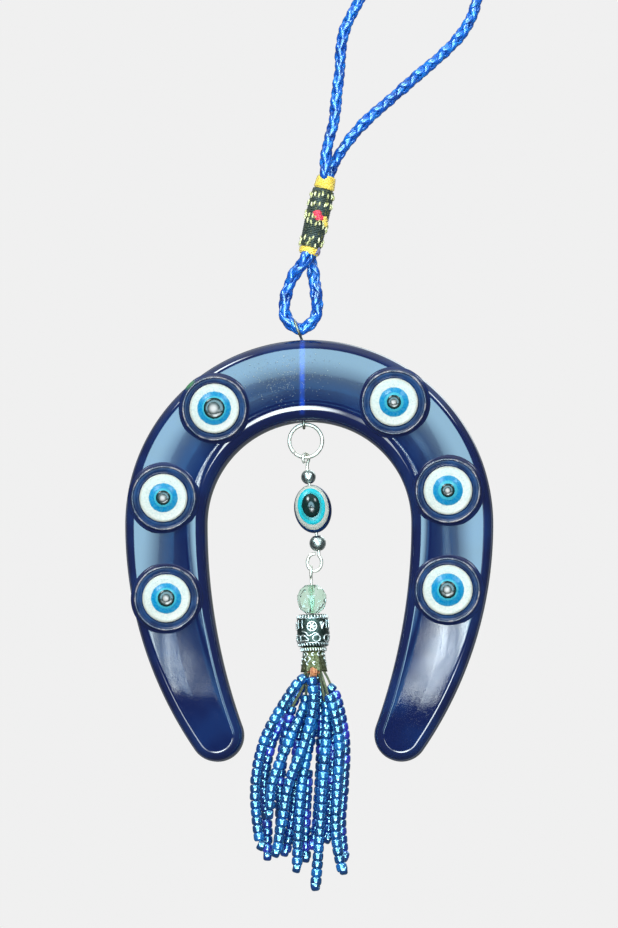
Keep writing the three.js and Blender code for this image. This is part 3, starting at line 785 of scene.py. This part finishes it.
def outline_points():
    """Each outline point: x, z, its outward direction, its share of the inner edge, how much of the
    arch's room and slope the leg has there, and the depth of the nick."""
    tip_z = leg_tip()[1]
    points = []
    for cx, cz, radius, sign, start, end, count, (w0, w1) in outline_arcs():
        for i in range(count):
            t = i / count
            angle = start + (end - start) * t
            inner = eased(w0 + (w1 - w0) * t)
            x, z = cx + radius * math.cos(angle), cz + radius * math.sin(angle)
            fall = min(max((ARCH_Z - z) / tip_z, 0), 1)
            share = (1 - (1 - TIP_SHARE["room"]) * eased(fall),
                     1 - (1 - TIP_SHARE["slope"]) * eased(min(1.3 * fall, 1)))
            nick = 0.0
            if radius == ARCH_OUT:
                off = (angle - NICK["angle"]) * ARCH_OUT / NICK["width"]
                nick = NICK["depth"] * math.exp(-off * off)
            points.append((x, z, (-sign * math.cos(angle), -sign * math.sin(angle)), inner, share, nick))
    return points


def edge_point(edge, level, room, calm):
    """An inset and a depth below the face: levels 0 to 1 go round the edge, 1 to 2 up the slow slope."""
    turn = ROUND_TURN * min(level, 1)
    inset = edge["width"] * (1 - math.cos(turn))
    rise = math.tan(edge["slope"]) * (edge["reach"] - inset) / edge["fade"] * room * calm
    if level <= 1:
        return inset, rise + edge["depth"] * (1 - math.sin(turn))
    part = level - 1
    return inset + (edge["reach"] - inset) * part * room, rise * (1 - part) ** edge["fade"]


def outline_ring(points, y=None, inset=0.0, level=None, nick_share=1.0):
    """A ring of the outline, either flat at y with an even inset, or at a level of the front edges."""
    ring = []
    for x, z, (out_x, out_z), inner, share, nick in points:
        shift, height = inset, y
        if level is not None:
            outer_shift, outer_rise = edge_point(OUTER_EDGE, level, *share)
            inner_shift, inner_rise = edge_point(INNER_EDGE, level, *share)
            shift = outer_shift + (inner_shift - outer_shift) * inner
            height = FRONT_Y + outer_rise + (inner_rise - outer_rise) * inner
        shift += nick * nick_share
        ring.append((x - out_x * shift, height, z - out_z * shift))
    return ring


def make_horseshoe():
    points = outline_points()
    rings = [outline_ring(points, BACK_Y, inset, nick_share=0.15) for inset in (3.0, 1.1)]
    for i in range(7):
        a = math.radians(90 - 15 * i)
        rings.append(outline_ring(points, BACK_Y - 1 + math.sin(a), 1 - math.cos(a), nick_share=0.15))
    rings.append(outline_ring(points, 0.0, nick_share=0.5))
    rings += [outline_ring(points, level=i / ROUND_STEPS) for i in range(ROUND_STEPS + 1)]
    slope_steps = (0.06, 0.14, 0.24, 0.36, 0.5, 0.66, 0.83, 1.0)
    rings += [outline_ring(points, level=1 + step) for step in slope_steps]
    piece = Solid().add(rings_shape(rings)).piece(
        "horseshoe_resin", "horseshoe_body", RESIN, "navy_resin", ["horseshoe"])
    edit(piece.data, lambda work: bmesh.ops.triangulate(
        work, faces=[face for face in work.faces if len(face.verts) > 4]))


def make_bubbles():
    """Small bubbles and dust at the surface of the arch."""
    rng = random.Random(11)
    solid = Solid()
    for _ in range(420):
        x, z = rng.gauss(-5.5, 4.5), rng.gauss(-8.0, 3.2)
        reach = math.hypot(x, z - ARCH_Z)
        if not (ARCH_IN + 3.4 < reach < ARCH_OUT - 3.2 and -16 < x < 7):
            continue
        radius = rng.uniform(0.03, 0.07)
        solid.add(ball(radius, 6, 5), Matrix.Translation((x, FRONT_Y - radius * 0.25, z)))
    solid.piece("resin_bubbles", "horseshoe_body", WHITE, "navy_resin")


make_horseshoe()
make_bubbles()


# ---- Eye discs ---------------------------------------------------------------------------------

def ragged_disc(radius, low, high, rng, jitter, segments=96):
    """A thin disc with an uneven edge."""
    edge = [radius + rng.uniform(-jitter, jitter) for _ in range(segments)]
    angles = [2 * math.pi * i / segments for i in range(segments)]
    rings = []
    for share, h in ((1, low), (1, (low + high) / 2), (0.985, high)):
        rings.append([(e * share * math.cos(a), e * share * math.sin(a), h) for e, a in zip(edge, angles)])
    return rings_shape(rings)


def dome(radius, low, rim, top, segments=64, rows=8):
    """A disc with a straight rim and a domed top."""
    profile = [(0, low), (radius, low), (radius, rim)]
    for i in range(1, rows + 1):
        a = math.pi / 2 * i / rows
        profile.append((radius * math.cos(a), rim + (top - rim) * math.sin(a)))
    return lathe(profile, segments)


# Lathe profiles of (radius, height) for each eye's boss, the flare at its foot and its rim
BOSS_PROFILE = [(0, -1.6), (7.12, -1.6), (7.12, -0.3), (7.08, 0.3), (7.02, 0.7), (6.9, 0.96), (6.76, 1.04),
                (6.2, 1.06)]
FOOT_PROFILE = [(6.8, -1.5), (7.9, -1.5), (7.9, -0.12), (7.62, -0.02), (7.38, 0.14), (7.22, 0.36),
                (7.12, 0.62), (6.8, 0.62)]
RIM_PROFILE = [(6.62, 0.9), (7.0, 0.9), (7.03, 1.08), (6.98, 1.22), (6.88, 1.29), (6.76, 1.29), (6.66, 1.2)]
DOT_COUNT = 34


def make_eye(name, x, z, radii, rng):
    white_r, blue_r, cyan_r, black_r, highlight_r = radii
    place = facing_front(x, FRONT_Y - 0.02, z)

    def layer(word, solid, material, slot, node=None):
        solid.piece(f"{word}_{name}", "horseshoe_body", material, slot, [f"{node}_{name}"] if node else ())

    def at(shape, matrix=place):
        return Solid().add(shape, matrix)

    well = [(white_r + 0.3, 1.1), (white_r + 0.2, 1.06), (white_r + 0.1, 0.9), (0, 0.9)]
    layer("boss", at(lathe([*BOSS_PROFILE, *well], 96)), BOSS, "boss_resin", "eye_boss")
    layer("boss_foot", at(lathe(FOOT_PROFILE, 96, closed=True)), RESIN, "boss_resin")
    # The rim's pale colour is a painted highlight.
    layer("boss_rim", at(lathe(RIM_PROFILE, 96, closed=True)), RIM, "boss_resin")
    white = [(0, 0.92), (white_r, 0.92), (white_r + 0.05, 1.25), (white_r, 1.4), (white_r - 0.15, 1.5),
             (white_r - 0.5, 1.57), (3, 1.64), (0, 1.66)]
    layer("white", at(lathe(white, 96)), WHITE, "eye_white", "eye_white")
    dots = Solid()
    for i in range(DOT_COUNT):
        angle = 2 * math.pi * (i + rng.uniform(-0.3, 0.3)) / DOT_COUNT
        reach = blue_r + rng.uniform(0.3, 0.95)
        spot = Matrix.Translation((reach * math.cos(angle), reach * math.sin(angle), 1.58))
        dots.add(ball(rng.uniform(0.07, 0.12), 8, 6), place @ spot)
    layer("dots", dots, DOTS, "eye_white")
    layer("iris_blue", at(ragged_disc(blue_r + 0.08, 1.6, 1.76, rng, 0.05)), BLUE, "eye_iris", "eye_iris")
    layer("iris_cyan", at(ragged_disc(cyan_r, 1.7, 1.84, rng, 0.05)), CYAN, "eye_iris")
    layer("pupil", at(dome(black_r, 1.75, 1.9, 2.25)), PUPIL, "eye_pupil", "eye_pupil")
    # A pale dome on the pupil whose colour is a painted highlight.
    off = place @ Matrix.Translation((rng.uniform(-0.08, 0.08), rng.uniform(-0.08, 0.04), 0))
    layer("pupil_glint", at(dome(highlight_r, 1.95, 2.12, 2.38, 48), off), PUPIL_HIGHLIGHT, "eye_pupil")


for number, (eye_name, (eye_x, eye_z, eye_radii)) in enumerate(EYES.items()):
    make_eye(eye_name, eye_x, eye_z, eye_radii, random.Random(20 + number))


# ---- Wires -------------------------------------------------------------------------------------

def make_wire(name, body, material, points, radius, sides, replaces):
    Solid().add(tube(points, radius, sides)).piece(name, body, material, "steel_wire", [replaces])


def make_hanger():
    lean = HANGER_LOOP["lean"]
    up = np.array([-math.sin(lean), 0, math.cos(lean)]) * HANGER_LOOP["along"]
    loop = arc(HANGER_LOOP["centre"], (0, HANGER_LOOP["across"], 0), up, 240, -50, 12)
    stem = [np.array([-1.5 + 0.4 * t, 0, -18 * t]) for t in (0.03, 0.3, 0.6, 0.9)]
    eye = arc(HANGER_EYE["centre"], (0, HANGER_EYE["r"], 0), (0, 0, HANGER_EYE["r"]), 50, -240, 10)
    make_wire("hanger", "hanger", DARK_STEEL, [*loop, *stem, *eye], HANGER_WIRE_R, 12, "hanger_wire")


def make_jump_ring():
    ring = arc(RING["centre"], (RING["r"], 0, 0), (0, 0, RING["r"]), 228.5, 225.5 + 360, 40)
    make_wire("ring", "jump_ring_body", STEEL, ring, RING["wire_r"], 14, "jump_ring")


def make_eye_pin():
    across = (PIN_EYE["lean"], PIN_EYE["across"], 0)
    eye = arc(PIN_EYE["centre"], across, (0, 0, PIN_EYE["along"]), 240, -50, 12)
    stem = [on_pin(z) for z in (-28.6, -34, -40, -46.3)]
    loop = arc(PIN_LOOP["centre"], (PIN_LOOP["across"], 0, 0), (0, 0, PIN_LOOP["along"]), 52, -278, 18)
    make_wire("link_pin", "eye_link", STEEL, [*eye, *stem, *loop], PIN_WIRE_R, 14, "eye_pin")


def make_tassel_pin():
    centre = (TASSEL_EYE[0], 0, TASSEL_EYE[1])
    eye = arc(centre, (0, TASSEL_LOOP["across"], 0), (0, 0, TASSEL_LOOP["along"]), 240, -50, 12)
    stem = [on_tassel_pin(z) for z in (-53.2, -58, -64, -68.9)]
    make_wire("tassel_wire", "tassel", STEEL, [*eye, *stem], TASSEL_WIRE_R, 14, "tassel_pin")


make_hanger()
make_jump_ring()
make_eye_pin()
make_tassel_pin()


# ---- Beads of the chain ------------------------------------------------------------------------

def make_spacer(name, z, radius):
    reach = math.radians(64)
    profile = [(radius * math.cos(a), radius * math.sin(a)) for a in np.linspace(-reach, reach, 15)]
    end = profile[-1][1]
    profile = [(0.5, -end + 0.1), *profile, (0.5, end - 0.1)]
    Solid().add(lathe(profile, 40, closed=True), leaning(on_pin(z), PIN_SLOPE)).piece(
        name + "_ball", name, SILVER, "silver_bead", [name + "_bead"])


def oval_depth(x, z):
    inside = max(0.0, 1 - (x / OVAL["width"]) ** 2 - (z / OVAL["height"]) ** 2)
    return OVAL["depth"] * inside ** 0.36


def oval_layer(width, height, x0, z0, lift, side, domed=0.12):
    """An oval skin on the bead's face, side -1 for the front and 1 for the back."""
    rings = []
    for share in (1.0, 0.985, 0.96, 0.92, 0.84, 0.72, 0.6, 0.45, 0.3, 0.15, 0.02):
        ring = []
        for i in range(56):
            a = 2 * math.pi * i / 56
            x, z = x0 + share * width * math.cos(a), z0 + share * height * math.sin(a)
            rise = -0.1 if share == 1.0 else lift * (1 - share ** 24) + domed * (1 - share ** 2)
            ring.append((x, side * (oval_depth(x, z) + rise), z))
        rings.append(ring)
    rings.insert(0, [(x, y - side * 0.3, z) for x, y, z in rings[0]])
    return rings_shape(rings)


def make_oval_bead():
    place = leaning(on_pin(OVAL["z"]), PIN_SLOPE)
    rings = []
    for i in range(-12, 13):
        share = math.cos(math.pi / 2 * i / 12)
        depth = OVAL["depth"] * math.copysign(abs(math.sin(math.pi / 2 * i / 12)) ** 0.72, i)
        share = max(share, 0.01)
        ring = []
        for k in range(56):
            a = 2 * math.pi * k / 56
            ring.append((OVAL["width"] * share * math.cos(a), depth, OVAL["height"] * share * math.sin(a)))
        rings.append(ring)
    Solid().add(rings_shape(rings), place).piece(
        "oval_body", "oval_bead_body", BOSS, "navy_resin", ["oval_bead"])
    for side, word in ((-1, "front"), (1, "back")):
        layers = (
            ("white", 3.72, 4.98, -0.1, 0.25, 0.14, 0.02, WHITE),
            ("turquoise", 3.12, 4.16, -0.16, 0.45, 0.24, 0.05, TURQUOISE),
            ("pupil", 2.06, 2.75, -0.22, 0.62, 0.34, 0.55, PUPIL),
        )
        for layer, width, height, x, z, lift, domed, material in layers:
            node = [f"oval_bead_eye_{word}"] if layer == "white" else ()
            Solid().add(oval_layer(width, height, x, z, lift, side, domed), place).piece(
                f"oval_{layer}_{word}", "oval_bead_body", material, "oval_eye", node)


def level_ring(radius, height, count, shift=0.0):
    angles = [2 * math.pi * (i + shift) / count for i in range(count)]
    return [(radius * math.cos(a), radius * math.sin(a), height) for a in angles]


def make_glass_bead():
    """A round bead cut in facets: each level is turned half a facet from the last."""
    levels = [(1.4, 3.1), (2.65, 2.1), (3.2, 0.78), (3.2, -0.78), (2.65, -2.1), (1.4, -3.1)]
    hole_r, hole_half, count = 0.6, 3.05, 10
    points = []
    for level, (radius, height) in enumerate(levels):
        points += level_ring(radius, height, count, 0.5 * (level % 2))
    hole = len(points)
    points += level_ring(hole_r, hole_half, count) + level_ring(hole_r, -hole_half, count)
    faces = []
    for level in range(len(levels) - 1):
        a, b = level * count, (level + 1) * count
        for i in range(count):
            n = (i + 1) % count
            if level % 2 == 0:
                faces += [(a + i, a + n, b + i), (a + n, b + n, b + i)]
            else:
                faces += [(a + i, b + n, b + i), (a + i, a + n, b + n)]
    last = (len(levels) - 1) * count
    for i in range(count):
        n = (i + 1) % count
        faces += [(i, hole + i, hole + n, n), (hole + i, hole + count + i, hole + count + n, hole + n),
                  (last + i, last + n, hole + count + n, hole + count + i)]
    Solid().add((points, faces), leaning(on_tassel_pin(GLASS_Z), TASSEL_SLOPE)).piece(
        "faceted_bead", "glass_bead_body", CRYSTAL, "clear_glass", ["glass_bead"], smooth=False)


for spacer_name, (spacer_z, spacer_r) in SPACERS.items():
    make_spacer(spacer_name, spacer_z, spacer_r)
make_oval_bead()
make_glass_bead()


# ---- Barrel bead and cap -----------------------------------------------------------------------

def barrel_radius(h):
    t = abs(h) / BARREL["half"]
    return BARREL["r"] - BARREL["taper"] * max(0, (t - 0.5) / 0.5) ** 1.6


def on_barrel(degrees, h, lift=0.0):
    a = math.radians(degrees - 90)
    r = barrel_radius(h) + lift
    return (r * math.cos(a), r * math.sin(a), h)


# A third of the barrel's pattern: raised lines of (degrees, height) rows beside a rosette, and their radius
BARREL_LINES = [
    ([(30, 1.8), (35, 1.0), (38, 0.2)], 0.17),
    ([(48, 1.7), (42, 1.0), (38, 0.2)], 0.17),
    ([(38, 1.9), (38, 1.3)], 0.14),
    ([(-37, 2.3), (-38, 1.2), (-36, 0.4)], 0.1),
    ([(62, 2.3), (60, 1.2), (62, 0.4)], 0.1),
    ([(-40, -0.2), (-24, -0.5), (-12, -1.2), (2, -0.9), (12, -0.6), (24, -1.0)], 0.16),
    ([(-46, -1.2), (-32, -1.1), (-20, -1.6), (-12, -2.2)], 0.17),
    ([(-46, -2.3), (-30, -2.25), (-14, -2.3)], 0.15),
]
ROSETTE_HEIGHT = 0.85


def barrel_ring(degrees, height, wide, high, count):
    """Rows round an oval on the barrel."""
    angles = np.linspace(0, 2 * math.pi, count)
    return [(degrees + wide * math.cos(a), height + high * math.sin(a)) for a in angles]


def make_barrel():
    place = leaning(on_tassel_pin(BARREL["z"]), TASSEL_SLOPE)
    half, hole_r = BARREL["half"], BARREL["hole_r"]
    wall = [(barrel_radius(h) - 0.08, h) for h in np.linspace(-half, half, 25)]
    profile = [(hole_r, -half), *wall, (hole_r, half)]
    Solid().add(lathe(profile, 64, closed=True), place).piece(
        "barrel_base", "barrel_bead_body", RECESS, "antique_silver", ["barrel_bead"])
    relief = Solid()

    def raised(rows, radius):
        relief.add(tube([on_barrel(d, h, 0.02) for d, h in rows], radius, 8, 0.15), place)

    for height in (2.62, -2.72):
        raised([(d, height) for d in range(0, 361, 15)], 0.09)
    for i in range(30):
        raised([(12 * i, 2.72), (12 * i, 3.34)], 0.15)
        raised([(12 * i, -2.85), (12 * i + 5, -3.36)], 0.12)
    for turn in (0, 120, 240):
        raised(barrel_ring(turn, ROSETTE_HEIGHT, 17, 1.0, 17), 0.16)
        for i in range(6):
            a = math.pi / 3 * i
            raised([(turn + wide * math.cos(a), ROSETTE_HEIGHT + high * math.sin(a))
                    for wide, high in ((0, 0), (9, 0.55), (14, 0.85))], 0.2)
        for rows, radius in BARREL_LINES:
            raised([(turn + d, h) for d, h in rows], radius)
        for centre in (16, 60):
            raised(barrel_ring(turn + centre, -1.75, 14, 0.72, 15), 0.15)
    relief.piece("barrel_relief", "barrel_bead_body", RELIEF, "antique_silver")


def cap_radius(h):
    """The cap's radius at a depth below its top: a collar, a waist and a flared mouth."""
    if h < CAP["collar"]:
        return CAP["collar_r"]
    t = (h - CAP["collar"]) / (CAP["depth"] - CAP["collar"])
    return CAP["waist_r"] + CAP["flare"] * t ** 1.4


def on_cap(degrees, h, lift=0.05):
    a = math.radians(degrees - 90)
    r = cap_radius(h) + lift
    return (r * math.cos(a), r * math.sin(a), -h)


def make_cap():
    place = leaning(on_tassel_pin(CAP["top"]), TASSEL_SLOPE)
    waist = np.linspace(CAP["collar"] + 0.3, CAP["depth"], 10)
    depths = [0, 0.1, CAP["collar"] - 0.05, CAP["collar"], *waist]
    outer = [(cap_radius(h), -h) for h in depths]
    inner = [(r - 0.45, h) for r, h in reversed(outer[3:])]
    profile = [(0.66, 0), *outer, *inner, (0.66, -0.6)]
    rings = []
    for i in range(84):
        a = 2 * math.pi * i / 84
        ring = []
        for r, h in profile:
            flute = 0.05 * math.cos(12 * a) if h < -CAP["collar"] and r > 1 else 0
            scallop = 0.3 * abs(math.sin(6 * a)) if h < 0.1 - CAP["depth"] else 0
            ring.append(((r + flute) * math.cos(a), (r + flute) * math.sin(a), h + scallop))
        rings.append(ring)
    Solid().add(rings_shape(rings, closed=True), place).piece(
        "cap_shell", "tassel", CAP_METAL, "antique_silver", ["bead_cap"])
    rng = random.Random(31)
    relief = Solid()
    for i in range(30):
        relief.add(tube([on_cap(12 * i, 0.15), on_cap(12 * i + 4, 0.8)], 0.14, 8, 0.15), place)
    for row, h in enumerate((1.5, 2.5, 3.5)):
        for i in range(12):
            d = 30 * i + 15 * (row % 2) + rng.uniform(-4, 4)
            bend = rng.choice((-1, 1))
            if rng.random() < 0.85 - 0.2 * row:
                rows = ((-8, -0.4), (4, 0), (-6, 0.45))
                petal = [on_cap(d + turn * bend, h + down) for turn, down in rows]
                relief.add(tube(petal, 0.16, 8, 0.15), place)
    relief.piece("cap_relief", "tassel", RELIEF, "antique_silver")


make_barrel()
make_cap()


# ---- Tassel ------------------------------------------------------------------------------------

# A seed bead from its hole to its middle: radius, and share of its half length
SEED_PROFILE = [(0.4, 0.86), (0.6, 1.0), (0.86, 1.0), (1.04, 0.88), (1.15, 0.66), (1.2, 0.36), (1.2, 0)]


def seed_bead(length, radius):
    upper = [(r * radius / SEED_R, h * length / 2) for r, h in SEED_PROFILE]
    lower = [(r, -h) for r, h in reversed(upper[:-1])]
    return lathe([*upper, *lower], 18, closed=True)


def bead_place(point, direction, spin):
    aim = Vector((0, 0, 1)).rotation_difference(Vector(direction)).to_matrix().to_4x4()
    return Matrix.Translation(Vector(point)) @ aim @ Matrix.Rotation(spin, 4, "Z")


def strand_points(rows, word):
    return [np.array([row[1], row[2] if len(row) > 2 else STRAND_DEPTH[word], row[0]]) for row in rows]


def make_strand(number, rows, word, glass, rng):
    """Seed beads on a thread, and a stop bead lying across its end."""
    points = strand_points(rows, word)
    if CROWDED[0] < points[0][2] < CROWDED[1]:
        to_cap = on_tassel_pin(CAP["top"] - CAP["depth"]) * (1, 0, 1) + points[0] * (0, 0.6, 0) - points[0]
        points.insert(0, points[0] + to_cap / np.linalg.norm(to_cap) * BEAD_SPACING)
    line, marks = smooth_line(points, 0.1)
    tangents, _, _ = frames_on(line)
    count = int((marks[-1] - END_GAP - FIRST_BEAD) / BEAD_SPACING) + 1
    beads, core = Solid(), Solid()
    for i in range(count):
        k = int(np.searchsorted(marks, FIRST_BEAD + i * BEAD_SPACING))
        tilt = tangents[k] + np.array([rng.uniform(-0.07, 0.07), rng.uniform(-0.07, 0.07), 0])
        size = rng.uniform(0.95, 1.02)
        bead = seed_bead(SEED_LENGTH * rng.uniform(0.97, 1.02), SEED_R * size)
        beads.add(bead, bead_place(line[k], tilt, rng.random()))
    core_end = int(np.searchsorted(marks, FIRST_BEAD + (count - 1) * BEAD_SPACING + 0.75))
    core.add(tube(line[:core_end:4], 0.39, 10, 0.45))
    stop = line[-1] + np.array([0, 0, 1.0])
    sideways = np.array([math.cos(rng.uniform(-0.5, 0.5)), rng.uniform(-0.3, 0.3), rng.uniform(-0.5, 0.3)])
    beads.add(seed_bead(1.7, SEED_R), bead_place(stop, sideways, 0))
    unit_side = sideways / np.linalg.norm(sideways)
    core.add(tube([stop - unit_side * 0.75, stop, stop + unit_side * 0.75], 0.38, 10, 0.3))
    name = f"strand_{number:02d}"
    beads.piece(name, word + "_strands", glass, "seed_beads", ["bead_" + name])
    core.piece(name + "_thread", word + "_strands", OLIVE, "tassel_thread")


def make_threads(word, strands, rng):
    """The threads that fan out of the cap to the front or back strands."""
    foot = on_tassel_pin(-71.5)
    bundle = Solid()
    for rows in strands:
        goal = strand_points(rows, word)[0] - (0, 0, 0.3)
        start = foot + np.array([rng.uniform(-0.9, 0.9), rng.uniform(-0.9, 0.9), rng.uniform(0, 1.0)])
        start[0] += 0.16 * (goal[0] - start[0])
        middle = (start + goal) / 2 + np.array([rng.uniform(-0.1, 0.3), rng.uniform(-0.2, 0.2), 0])
        bundle.add(tube([start, middle, goal], rng.uniform(0.2, 0.32), 8, 0.4))
    bundle.piece("threads_" + word, word + "_strands", OLIVE, "tassel_thread")


def make_knot(rng):
    """The knot in the cap's mouth, with a few threads that come over its front edge."""
    knot = Solid()
    top, low = on_tassel_pin(-69.4), on_tassel_pin(-73.1)
    for i in range(9):
        a = 2 * math.pi * i / 9
        out = np.array([math.cos(a), math.sin(a), 0]) * 1.35
        foot = low + out * rng.uniform(0.9, 1.05)
        knot.add(tube([top + out * 0.5, (top + low) / 2 + out, foot], 0.42, 8, 0.3))
    knot.add(ball(1.25, 20, 14), Matrix.Translation(Vector(on_tassel_pin(-71.4))))
    for i in range(5):
        x = on_tassel_pin(-72.5)[0] - 0.5 + 0.25 * i + rng.uniform(-0.1, 0.1)
        over = (x, -2.95, -71.9 + rng.uniform(-0.4, 0.3))
        knot.add(tube([(x, -1.6, -74.2), (x, -2.75, -73.6), (x + 0.1, -3.1, -72.8), over], 0.17, 8, 0.2))
    knot.piece("thread_knot", "tassel", RUST, "tassel_thread", ["tassel_knot"])


strand_rng = random.Random(40)
thread_rng = random.Random(50)
strand_count = 0
# The back strands use the darker copy of the glass, which is painted shade.
for side, strands, glass_of_side in (("front", FRONT_STRANDS, SEED), ("back", BACK_STRANDS, SEED_BACK_SHADED)):
    for strand_rows in strands:
        strand_count += 1
        make_strand(strand_count, strand_rows, side, glass_of_side, strand_rng)
    make_threads(side, strands, thread_rng)
make_knot(thread_rng)


# ---- Stage and light ---------------------------------------------------------------------------

def emission(name, color, strength):
    material = bpy.data.materials.new(name)
    material.use_nodes = True
    nodes = material.node_tree.nodes
    nodes.clear()
    light = nodes.new("ShaderNodeEmission")
    light.inputs["Color"].default_value = (*color, 1)
    light.inputs["Strength"].default_value = strength
    out = nodes.new("ShaderNodeOutputMaterial")
    material.node_tree.links.new(light.outputs[0], out.inputs["Surface"])
    return material


def make_stage():
    """A pale round floor that curves up into a wall all round the object, in metres."""
    floor, wall, corner, top, steps = -0.9, 3.2, 0.9, 3.0, 12
    profile = [(0, floor), (wall - corner, floor)]
    for i in range(1, steps + 1):
        a = math.pi / 2 * i / steps
        profile.append((wall - corner + corner * math.sin(a), floor + corner * (1 - math.cos(a))))
    profile.append((wall, top))
    points, faces = lathe(profile, 72)
    mesh = bpy.data.meshes.new("stage")
    mesh.from_pydata(points, [], faces)
    mesh.polygons.foreach_set("use_smooth", [True] * len(mesh.polygons))
    mesh.materials.append(emission("stage_white", (1, 1, 1), 0.871))
    stage = linked("stage", mesh)
    stage.visible_diffuse = False
    stage.visible_glossy = False
    stage.visible_shadow = False


def make_world():
    """A dim room with a ring of light round the camera, soft light above and behind, and small lamps."""
    world = bpy.data.worlds.new("studio")
    bpy.context.scene.world = world
    world.use_nodes = True
    n = Nodes(world.node_tree)
    direction = n.place("Generated")
    y, z = n.axis(direction, "Y"), n.axis(direction, "Z")

    def band(inner, outer, strength, soft=6):
        """Light between two angles from -Y, in degrees."""
        a, b, c, d = (-math.cos(math.radians(angle)) for angle in (inner, inner + soft, outer - soft, outer))
        return n.math("MULTIPLY", n.ramp(y, a, b), n.ramp(y, c, d, strength, 0))

    def spot(azimuth, elevation, inner, outer, strength):
        """Light round a direction, given in degrees from -Y to the right and up."""
        a, e = math.radians(azimuth), math.radians(elevation)
        towards = (math.sin(a) * math.cos(e), -math.cos(a) * math.cos(e), math.sin(e))
        near = n.vector("DOT_PRODUCT", direction, towards, "Value")
        return n.ramp(near, math.cos(math.radians(outer)), math.cos(math.radians(inner)), 0, strength)

    lights = [
        band(8, 28, 2.6), band(120, 150, 0.4, 12), n.ramp(z, 0.4, 0.95, 0, 0.8),
        n.ramp(y, -0.985, -0.9, 0.02, 0.12), spot(-36, 40, 5, 12, 24), spot(40, 38, 4, 10, 14),
        spot(0, -14, 4, 9, 24), spot(12, -8, 4, 8, 16), spot(16, 0, 4, 7, 9), spot(-16, -7, 4, 8, 6),
        spot(160, 30, 8, 20, 3),
    ]
    total = lights[0]
    for light in lights[1:]:
        total = n.math("ADD", total, light)
    background = n.nodes["Background"]
    n.links.new(total, background.inputs["Strength"])
    background.inputs["Color"].default_value = (0.88, 0.98, 1.0, 1)


CARD_DISTANCE = 900


def seen_on_face(x, z):
    """Where a light at CARD_DISTANCE has to be for its reflection to show at (x, z) on the face."""
    near = FRONT_Y - CAMERA_PLACE[1]
    spread = (near + CARD_DISTANCE) / near
    return CAMERA_PLACE[0] + (x - CAMERA_PLACE[0]) * spread, CAMERA_PLACE[2] + (z - CAMERA_PLACE[2]) * spread


def make_card(name, centre, half, turn, color, strength, cut_below=None, hollow=None, fade=0.15, sink=None):
    """A soft round light in front. Its place, half size and tilt are those of its reflection on the face.
    hollow and sink are where it fades in, from its middle outward and from its foot upward."""
    cx, cz = centre
    low = -1.0 if cut_below is None else max(-1.0, (cut_below - cz) / half[1])
    mesh = bpy.data.meshes.new(name)
    mesh.from_pydata([(-1, 0, low), (1, 0, low), (1, 0, 1), (-1, 0, 1)], [], [(0, 1, 2, 3)])
    place_x, place_z = seen_on_face(cx, cz)
    spread = seen_on_face(cx + 1, cz)[0] - place_x
    material = emission(name + "_light", color, 0)
    n = Nodes(material.node_tree)
    place = n.place("Object")
    reach = n.vector("LENGTH", place, output="Value")
    glow = n.ramp(reach, fade, 1.0, strength, 0)
    if sink:
        glow = n.math("MULTIPLY", glow, n.ramp(n.axis(place, "Z"), *sink))
    if hollow:
        glow = n.math("MULTIPLY", glow, n.ramp(reach, *hollow))
    n.links.new(glow, n.nodes["Emission"].inputs["Strength"])
    mesh.materials.append(material)
    card = linked(name, mesh)
    card.location = Vector((np.array([place_x, FRONT_Y - CARD_DISTANCE, place_z]) + HORSESHOE_TOP) * MM)
    card.rotation_euler = (0, math.radians(turn), 0)
    card.scale = (half[0] * spread * MM, 1, half[1] * spread * MM)
    card.visible_camera = False
    card.visible_shadow = False
    card.visible_diffuse = False


CARD_EDGE = -78.4
BLUE_LIGHT = (0.14, 0.5, 1.0)
PALE_LIGHT = (0.5, 0.84, 1.0)
WHITE_LIGHT = (0.9, 1.0, 1.0)

make_stage()
make_world()
make_card("card_ring", (0, -45), (266, 266), 0, PALE_LIGHT, 11, -125, (0.06, 0.52), 0.85, (-0.135, -0.085))
make_card("card_wide", (0, -48), (66, 75), 0, BLUE_LIGHT, 7.0, CARD_EDGE, (0.1, 0.5), 0.5)
make_card("card_left_leg", (-35, -71), (14, 22), -28, WHITE_LIGHT, 31, CARD_EDGE, fade=0.35)
make_card("card_left_far", (-78, -71), (46, 17), 0, WHITE_LIGHT, 24, CARD_EDGE, fade=0.3)
make_card("card_left_foot", (-23, -78), (12, 7), 0, WHITE_LIGHT, 15, CARD_EDGE, fade=0.3)
make_card("card_right_leg", (37, -67), (16, 24), 28, WHITE_LIGHT, 50, CARD_EDGE, fade=0.45)
make_card("card_right_far", (82, -70), (46, 19), 0, WHITE_LIGHT, 36, CARD_EDGE, fade=0.3)
make_card("card_right_foot", (25, -78), (12, 7), 0, WHITE_LIGHT, 24, CARD_EDGE, fade=0.4)
make_card("card_right_side", (36, -43), (8, 12), 0, PALE_LIGHT, 14)
make_card("card_right_shoulder", (31, -18), (12, 11), -40, PALE_LIGHT, 6)
make_card("card_left_arch", (-14, -7), (15, 7), 20, PALE_LIGHT, 6)
bpy.context.scene.view_settings.view_transform = "Standard"
